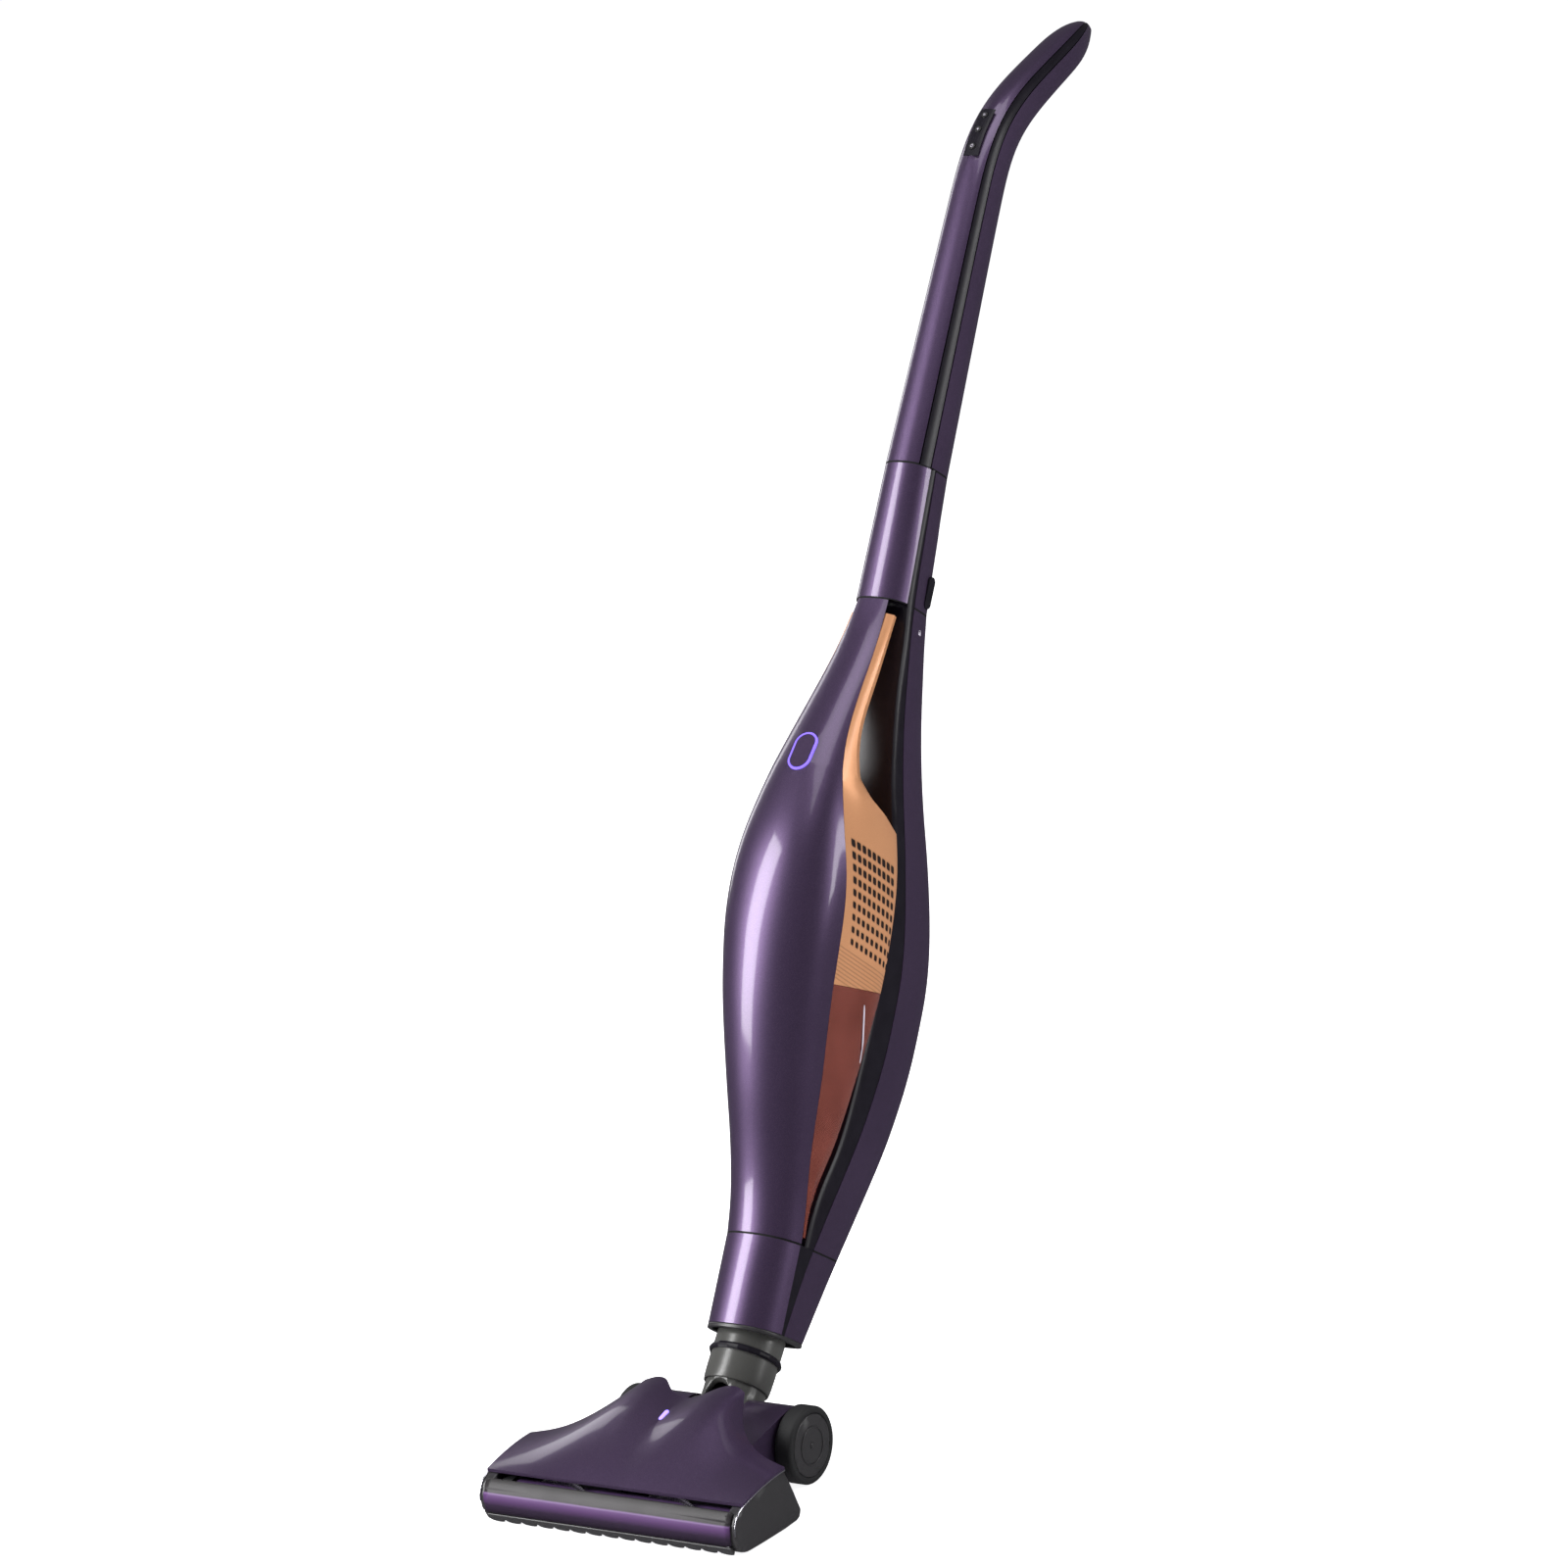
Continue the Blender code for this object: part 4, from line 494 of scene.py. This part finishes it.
# %% Finishes on the solids
FINISH = {
    "brush_roller": roller_violet, "indicator_lens": slit_light, "ring_lens": ring_light,
    "power_button": purple, "head_base": soot, "air_duct": soot, "sole_felt": felt,
    "sole_roller": rubber, "drive_belt": rubber, "inlet_flap": rubber, "motor_pulley": charcoal,
    "roller_pulley": charcoal, "fan": charcoal, "power_key": charcoal, "boost_key": charcoal,
    "brush_key": charcoal, "neck_collar": black_satin, "control_panel": black_satin,
    "handheld_release_button": black_satin, "sole_axle": steel, "roller_bearing_left": steel,
    "roller_bearing_right": steel, "brush_motor": steel, "stub_axle_left": steel,
    "stub_axle_right": steel, "latch_spring": steel, "suction_motor": steel,
    "charging_contact_left": gold, "charging_contact_right": gold, "battery_pack": wrap,
    "control_board": board,
}
for node, material in FINISH.items():
    nodes[node].data.materials.clear()
    nodes[node].data.materials.append(material)
print(len(FINISH), "solids refinished")

# %% [markdown]
# ## Brush: tufts, comb and filter
# The roller carries nylon tufts along two spirals.  Modelling each thread would be wasteful, so one
# short splayed cone of six sides stands for a tuft and a loop sets it along both spirals.

# %% Bristle tufts
ROLLER_AXIS = Vector(joints["brush_spin"]["pos_m"])
TUFTS = 96                                   # along each spiral
TUFT_FOOT, TUFT_HEAD = 0.0006, 0.0011        # radii: a tuft splays outwards
TUFT_SUNK = 0.0002                           # how far its foot sits in the roller


def across_axis(node):
    """How far a node reaches from the roller's axis, and the angles round it, in degrees."""
    places = [vert.co - ROLLER_AXIS for vert in nodes[node].data.vertices]
    angles = [math.degrees(math.atan2(place.z, place.y)) % 360 for place in places]
    return max(math.hypot(place.y, place.z) for place in places), min(angles), max(angles)


def make_bristles():
    low, high = (corner[0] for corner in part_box("bristle_strips"))
    root, tip = across_axis("brush_roller")[0], across_axis("bristle_strips")[0]
    bm = bmesh.new()
    for spiral in (0.0, math.pi):
        for step in range(TUFTS):
            share = (step + 0.5) / TUFTS
            place = Vector((low + (high - low) * share, ROLLER_AXIS.y, ROLLER_AXIS.z))
            turn = Matrix.Rotation(spiral + 2 * math.pi * share - math.pi / 2, 4, "X")
            lift = Matrix.Translation((0, 0, (root + tip) / 2 - TUFT_SUNK))
            bmesh.ops.create_cone(bm, cap_ends=True, segments=6, radius1=TUFT_FOOT, radius2=TUFT_HEAD,
                                  depth=tip - root, matrix=Matrix.Translation(place) @ turn @ lift)
    made = finish_piece("bristle_tufts", bm, bristle, "brush")
    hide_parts("bristle_strips")


make_bristles()
print(2 * TUFTS, "tufts")

# %% [markdown]
# Below the window hangs a comb with scalloped teeth, which lets crumbs in and keeps carpet out.  A
# flat grid is bent round the roller's axis, and its lower edge is drawn up between two teeth.

# %% Scalloped comb
TEETH = 15
TOOTH_DEPTH = 0.55                           # of the comb's height
COMB_WALL = 0.0016


def make_comb():
    low, high = (corner[0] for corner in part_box("front_comb"))
    reach, first, last = across_axis("front_comb")
    bm = bmesh.new()
    bmesh.ops.create_grid(bm, x_segments=TEETH * 8, y_segments=6, size=1.0)
    for vert in bm.verts:
        along, down = (vert.co.x + 1) / 2, (vert.co.y + 1) / 2
        tooth = math.sqrt(abs(math.sin(math.pi * along * TEETH)))
        angle = math.radians(first + (last - first) * down * (1 - TOOTH_DEPTH + TOOTH_DEPTH * tooth))
        vert.co = (low + (high - low) * along, ROLLER_AXIS.y + reach * math.cos(angle),
                   ROLLER_AXIS.z + reach * math.sin(angle))
    bmesh.ops.recalc_face_normals(bm, faces=bm.faces)
    made = finish_piece("scalloped_comb", bm, charcoal, "head")
    wall = made.modifiers.new("wall", "SOLIDIFY")
    wall.thickness, wall.offset = COMB_WALL, 0.0
    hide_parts("front_comb")


make_comb()
print(TEETH, "teeth")

# %% [markdown]
# The filter in the bin is a paper cone folded into pleats.  A cone with two rings of many sides is
# enough, once every second side is pushed inwards.

# %% Pleated filter
PLEATS = 36
PUSHED_IN = 0.88                             # radius of an inner fold, as a share of an outer one's
END_BAND = 0.004                             # points this near to an end tell how wide it is


def make_filter():
    """A pleated cone where the filter's solid is; returns its height."""
    verts = [STICK.inverted() @ vert.co for vert in nodes["filter_cone"].data.vertices]
    bottom, top = min(v.z for v in verts), max(v.z for v in verts)
    middle = Vector((0, sum(v.y for v in verts) / len(verts), (bottom + top) / 2))
    wide = [max(math.hypot(v.x, v.y - middle.y) for v in verts if abs(v.z - level) < END_BAND)
            for level in (bottom, top)]
    bm = bmesh.new()
    bmesh.ops.create_cone(bm, cap_ends=True, segments=2 * PLEATS, radius1=wide[0], radius2=wide[1],
                          depth=top - bottom)
    for vert in bm.verts:
        angle = math.atan2(vert.co.y, vert.co.x)
        if round(angle / math.pi * PLEATS) % 2:
            vert.co.x, vert.co.y = vert.co.x * PUSHED_IN, vert.co.y * PUSHED_IN
    bmesh.ops.transform(bm, matrix=STICK @ Matrix.Translation(middle), verts=bm.verts)
    made = finish_piece("pleated_filter", bm, white, "handheld")
    made.data.set_sharp_from_angle(angle=math.radians(30))
    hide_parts("filter_cone")
    return top - bottom


print("filter", round(1000 * make_filter()), "mm tall with", PLEATS, "pleats")

# %% [markdown]
# ## Small parts that land on a surface
# Marks, dots, screws and the bright edging lie on skins whose shape was never written down as a
# formula.  A straight line sent towards a solid finds the spot and the way the surface faces there,
# so each small part is made flat about the origin and then set down on that spot.

# %% Landing on a surface
TREES = {}


def landing(node, start, way):
    """Where a line from start meets a solid, and the way the surface faces there."""
    if node not in TREES:
        bm = bmesh.new()
        bm.from_mesh(nodes[node].data)
        TREES[node] = BVHTree.FromBMesh(bm)
        bm.free()
    place, normal, _, _ = TREES[node].ray_cast(Vector(start), Vector(way).normalized())
    return place, normal


def facing(place, normal, upwards):
    """A matrix that stands a part's z on the surface, with its y as near upwards as it can be."""
    side = Vector(upwards).cross(normal).normalized()
    return Matrix.Translation(place) @ Matrix((side, normal.cross(side), normal)).transposed().to_4x4()


ASIDE = STICK.to_3x3() @ Vector((1, 0, 0))
ALONG = STICK.to_3x3() @ Vector((0, 0, 1))
OUTSIDE = 0.2                                # a ray that starts this far off starts outside the node
print("rays ready")

# %% [markdown]
# The bright edging between the top shell and each end cap is a thin wire laid along the cap's upper
# outline.  The outline is the part of the cap's rim that no straight edge passes over.

# %% Bright edging
EDGING_RADIUS = 0.0007
EDGING_FOOT = 0.014                          # how high above the floor the wire starts
RIM_BAND = 0.0004                            # points this near to the cap's outer face are its rim
EDGING_IN, EDGING_UP = 0.0001, 0.0002        # where the wire lies from the rim
SIDES = (("left", -1), ("right", 1))         # each side's name and the sign of its x


def upper_outline(side):
    """The cap's rim at its outer face, from its front foot over the top to its back foot."""
    verts = [vert.co for vert in nodes["end_cap_" + side].data.vertices]
    outer = max(abs(co.x) for co in verts)
    rim = sorted({(round(co.y, 5), round(co.z, 5)) for co in verts if abs(co.x) > outer - RIM_BAND})
    chain = []
    for y, z in rim:
        while len(chain) > 1 and ((chain[-1][0] - chain[-2][0]) * (z - chain[-2][1])
                                  - (chain[-1][1] - chain[-2][1]) * (y - chain[-2][0])) >= 0:
            chain.pop()
        chain.append((y, z))
    return outer, [point for point in chain if point[1] > EDGING_FOOT]


def make_edging(side, sign):
    outer, chain = upper_outline(side)
    curve = bpy.data.curves.new("bright_edging_" + side, "CURVE")
    curve.dimensions, curve.bevel_depth, curve.bevel_resolution = "3D", EDGING_RADIUS, 2
    curve.use_fill_caps = True
    spline = curve.splines.new("POLY")
    spline.points.add(len(chain) - 1)
    for point, (y, z) in zip(spline.points, chain):
        point.co = (sign * (outer - EDGING_IN), y, z + EDGING_UP, 1)
    made = bpy.data.objects.new("bright_edging_" + side, curve)
    bpy.context.scene.collection.objects.link(made)
    curve.materials.append(bright)
    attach(made, "head")
    return len(chain)


print("edging points:", [make_edging(side, sign) for side, sign in SIDES])

# %% [markdown]
# Each wheel hub has a raised ring and a centre button.  Both are turned: a short outline is spun
# round the hub's axis, and only the outline differs.

# %% Hub rings and buttons
BUTTON_OUTLINE = [(0.0, 0.0007), (0.0020, 0.0006), (0.0026, 0.0), (0.0, -0.0003)]
RING_OUTLINE = [(0.0140, 0.0), (0.0143, 0.0006), (0.0149, 0.0006), (0.0152, 0.0), (0.0140, 0.0)]


def turned(bm, outline):
    """Spin an outline of (radius, height) points round z into a closed ring or button."""
    rim = [bm.verts.new((radius, 0, height)) for radius, height in outline]
    edges = [bm.edges.new(pair) for pair in zip(rim, rim[1:])]
    bmesh.ops.spin(bm, geom=rim + edges, cent=(0, 0, 0), axis=(0, 0, 1), angle=2 * math.pi, steps=32,
                   use_merge=True)
    bmesh.ops.remove_doubles(bm, verts=bm.verts, dist=MERGE)
    bmesh.ops.recalc_face_normals(bm, faces=bm.faces)


def dress_hub(side, sign):
    place, normal = landing("wheel_hub_" + side, AXLE + Vector((sign * OUTSIDE, 0, 0)), (-sign, 0, 0))
    bm = bmesh.new()
    turned(bm, BUTTON_OUTLINE)
    turned(bm, RING_OUTLINE)
    bmesh.ops.transform(bm, matrix=facing(place, normal, (0, 0, 1)), verts=bm.verts)
    finish_piece("hub_ring_" + side, bm, charcoal, "wheel_" + side)
    return round(place.x, 4)


print("hubs at", [dress_hub(side, sign) for side, sign in SIDES])

# %% [markdown]
# Printed marks are pads a tenth of a millimetre high.  The three keys carry a ring, a cross and three
# bars; beside the release button is a small catch sign: a block under an arch.

# %% Marks
FULL_TURN = 2 * math.pi
PRINT_RISE = 0.0001


def bar(bm, x, y, width, height, thick=0.00012):
    """A flat block that stands out of the surface by five sixths of its thickness."""
    made = bmesh.ops.create_cube(bm, size=1.0)
    bmesh.ops.scale(bm, vec=(width, height, thick), verts=made["verts"])
    bmesh.ops.translate(bm, vec=(x, y, thick / 3), verts=made["verts"])


def hoop(bm, radius, wide, angle=FULL_TURN):
    """A flat ring, or an arch when the angle is under a full turn."""
    rim = [bm.verts.new((radius + side * wide / 2, 0, height)) for side, height in
           ((-1, 0.0), (-1, PRINT_RISE), (1, PRINT_RISE), (1, 0.0))]
    edges = [bm.edges.new(pair) for pair in zip(rim, rim[1:] + rim[:1])]
    full = angle == FULL_TURN
    bmesh.ops.spin(bm, geom=rim + edges, cent=(0, 0, 0), axis=(0, 0, 1), angle=angle,
                   steps=24 if full else 12, use_merge=full)
    bmesh.ops.remove_doubles(bm, verts=bm.verts, dist=MERGE)
    bmesh.ops.recalc_face_normals(bm, faces=bm.faces)


def key_sign(bm, key):
    if key == "power":
        hoop(bm, 0.0011, 0.0003)
    if key == "boost":
        bar(bm, 0, 0, 0.0022, 0.0004)
        bar(bm, 0, 0, 0.0004, 0.0022)
    if key == "brush":
        for place in (-0.0007, 0.0, 0.0007):
            bar(bm, 0, place, 0.0020, 0.00026)


for key in ("power", "boost", "brush"):
    press = Vector(joints[key + "_key_press"]["axis"]).normalized()
    corners = [Vector(corner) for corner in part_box(key + "_key")]
    place, normal = landing(key + "_key", (corners[0] + corners[1]) / 2 - press * OUTSIDE, press)
    bm = bmesh.new()
    key_sign(bm, key)
    bmesh.ops.transform(bm, matrix=facing(place, normal, ALONG), verts=bm.verts)
    finish_piece("mark_on_" + key + "_key", bm, marking, BODY_OF[key + "_key"])

SIGN_PLACE = (OUTSIDE, 0.0005, 0.6466)       # beside the release button, in the stick's axes
place, normal = landing("spine_shell", STICK @ Vector(SIGN_PLACE), -ASIDE)
bm = bmesh.new()
hoop(bm, 0.0012, 0.0004, FULL_TURN / 2)
bar(bm, 0, -0.0014, 0.0034, 0.0024)
bmesh.ops.transform(bm, matrix=facing(place, normal, ALONG), verts=bm.verts)
finish_piece("mark_of_catch", bm, marking, BODY_OF["spine_shell"])
print("catch sign at", [round(v, 4) for v in STICK.inverted() @ place], "in the stick's axes")

# %% [markdown]
# The bin's side has a pale sight slot that shows how full it is.  It is a strip of a few dozen faces,
# pressed onto the bin point by point, because the bin curves both ways.

# %% Sight slots
SLOT_TOP, SLOT_FOOT = (0.007, 0.346), (0.027, 0.304)     # y and w in the stick's axes
SLOT_HALF = 0.0011                                       # half its width
SLOT_WALL, SLOT_LIFT = 0.0003, 0.0001


def make_slot(side, sign):
    bm = bmesh.new()
    bmesh.ops.create_grid(bm, x_segments=4, y_segments=28, size=1.0)
    for vert in bm.verts:
        wide = SLOT_HALF * math.sqrt(max(0.02, 1 - abs(vert.co.y) ** 12)) * vert.co.x
        share = (vert.co.y + 1) / 2
        start = Vector((sign * OUTSIDE, SLOT_FOOT[0] + (SLOT_TOP[0] - SLOT_FOOT[0]) * share + wide,
                        SLOT_FOOT[1] + (SLOT_TOP[1] - SLOT_FOOT[1]) * share))
        place, normal = landing("dust_bin", STICK @ start, -sign * ASIDE)
        vert.co = place + normal * SLOT_LIFT
    if sign < 0:
        bmesh.ops.reverse_faces(bm, faces=bm.faces)
    made = finish_piece("sight_slot_" + side, bm, marking, "handheld")
    wall = made.modifiers.new("wall", "SOLIDIFY")
    wall.thickness, wall.offset = SLOT_WALL, 0.0


for side, sign in SIDES:
    make_slot(side, sign)
print("sight slots", round(1000 * math.dist(SLOT_TOP, SLOT_FOOT)), "mm long")

# %% [markdown]
# Screws hold the sole to the head.  A screw's head is a turned disc with a sloping rim, and two dark
# bars across it are painted shade: they stand for the shadow in the cross recess.  The base is tried
# at eight places, and a screw goes only where it is flat and low.

# %% Screws under the sole
SCREW_OUTLINE = [(0.0, 0.0004), (0.0020, 0.0004), (0.0026, 0.0), (0.0, -0.0004)]
CROSS_LONG, CROSS_WIDE, CROSS_THICK = 0.0028, 0.0006, 0.0012
BACKWARDS = (0, 1, 0.01)
SOLE_BAND = 0.004                            # how far above the base's lowest point still counts as low


def make_screw(name, place, normal, body):
    spot = facing(place, normal, BACKWARDS)
    bm = bmesh.new()
    turned(bm, SCREW_OUTLINE)
    bmesh.ops.transform(bm, matrix=spot, verts=bm.verts)
    finish_piece(name, bm, steel, body)
    # painted shade: two bars of dark sole plastic stand for the shadow in the cross recess
    bm = bmesh.new()
    bar(bm, 0, 0, CROSS_LONG, CROSS_WIDE, CROSS_THICK)
    bar(bm, 0, 0, CROSS_WIDE, CROSS_LONG, CROSS_THICK)
    bmesh.ops.transform(bm, matrix=spot, verts=bm.verts)
    finish_piece(name + "_recess", bm, soot, body)


base_low, base_high = (Vector(corner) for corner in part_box("head_base"))
screws = 0
for across in (-0.80, -0.30, 0.30, 0.80):
    for back in (0.52, 0.80):
        start = Vector((across * base_high.x, base_low.y + back * (base_high.y - base_low.y), -0.01))
        place, normal = landing("head_base", start, (0, 0, 1))
        if place and normal.z < -0.99 and place.z < base_low.z + SOLE_BAND:
            screws += 1
            make_screw("sole_screw_" + str(screws), place, normal, "head")
print(screws, "screws under the sole")

# %% [markdown]
# ## Camera, floor and light
# The camera stands to the right and a little above, far off with a long lens, so that the stick's
# upright lines stay nearly parallel.  A pale floor runs out of view and serves as the background, and
# large soft lamps make long highlights down the shells.  The sky is dim, because gloss needs
# something dark to reflect as well.

# %% Camera
CAMERA_PLACE = (2.8097, -3.7755, 1.7319)
CAMERA_LENS, CAMERA_SENSOR = 151.4, 36.0     # in millimetres
CAMERA_RIGHT, CAMERA_BACK = Vector((0.83061, 0.54843, -0.09653)), Vector((0.55401, -0.79635, 0.24270))

camera = bpy.data.objects.new("camera", bpy.data.cameras.new("camera"))
bpy.context.scene.collection.objects.link(camera)
camera.data.sensor_width = CAMERA_SENSOR
camera.data.lens = CAMERA_LENS
camera.data.clip_end = 100.0
right, back = CAMERA_RIGHT.normalized(), CAMERA_BACK.normalized()
turn = Matrix((right, back.cross(right), back)).transposed().to_4x4()
camera.matrix_world = Matrix.Translation(CAMERA_PLACE) @ turn
bpy.context.scene.camera = camera
print("camera at", [round(v, 2) for v in camera.location], "lens", camera.data.lens)

# %% Floor and lamps
bm = bmesh.new()
bmesh.ops.create_grid(bm, x_segments=1, y_segments=1, size=40.0)
floor_mesh = bpy.data.meshes.new("floor")
bm.to_mesh(floor_mesh)
bm.free()
floor = bpy.data.objects.new("floor", floor_mesh)
bpy.context.scene.collection.objects.link(floor)
floor_paint = Paint("floor_paint", Roughness=0.9, Specular_IOR_Level=0.1, Emission_Strength=0.92)
floor_tone = floor_paint.blend(floor_paint.noise(3.0), (0.97, 0.97, 0.98, 1), (0.99, 0.99, 0.99, 1))
floor_paint.set(Base_Color=floor_tone, Emission_Color=floor_tone)
floor_mesh.materials.append(floor_paint.material)
floor.visible_glossy = False


def softbox(name, place, target, width, height, power):
    light = bpy.data.lights.new(name, "AREA")
    light.shape, light.size, light.size_y, light.energy = "RECTANGLE", width, height, power
    made = bpy.data.objects.new(name, light)
    bpy.context.scene.collection.objects.link(made)
    aim = Vector(target) - Vector(place)
    made.matrix_world = Matrix.Translation(place) @ aim.to_track_quat("-Z", "Y").to_matrix().to_4x4()


MIDDLE = Vector((0, 0.35, 0.50))
KEY_WAY = Vector((-0.56, -0.73, 0.36))       # seen in the shells' front line from the camera
KEY_FAR = 3.3
softbox("key", MIDDLE + KEY_FAR * KEY_WAY, MIDDLE, 1.0, 2.9, 150)
softbox("left", (-2.6, 1.6, 1.3), MIDDLE, 0.5, 2.4, 12)
softbox("right", (3.1, 1.5, 1.5), MIDDLE, 0.5, 2.6, 45)
softbox("top", (0.3, 0.2, 3.6), (0, 0.3, 0.3), 2.0, 2.0, 40)
world = bpy.data.worlds.new("studio")
bpy.context.scene.world = world
world.use_nodes = True
sky = world.node_tree.nodes["Background"].inputs
sky["Color"].default_value = (0.80, 0.80, 0.84, 1)
sky["Strength"].default_value = 0.13
bpy.context.scene.view_settings.view_transform = "Standard"
print("four lamps and a floor")

# %% Finish
print("scene built")
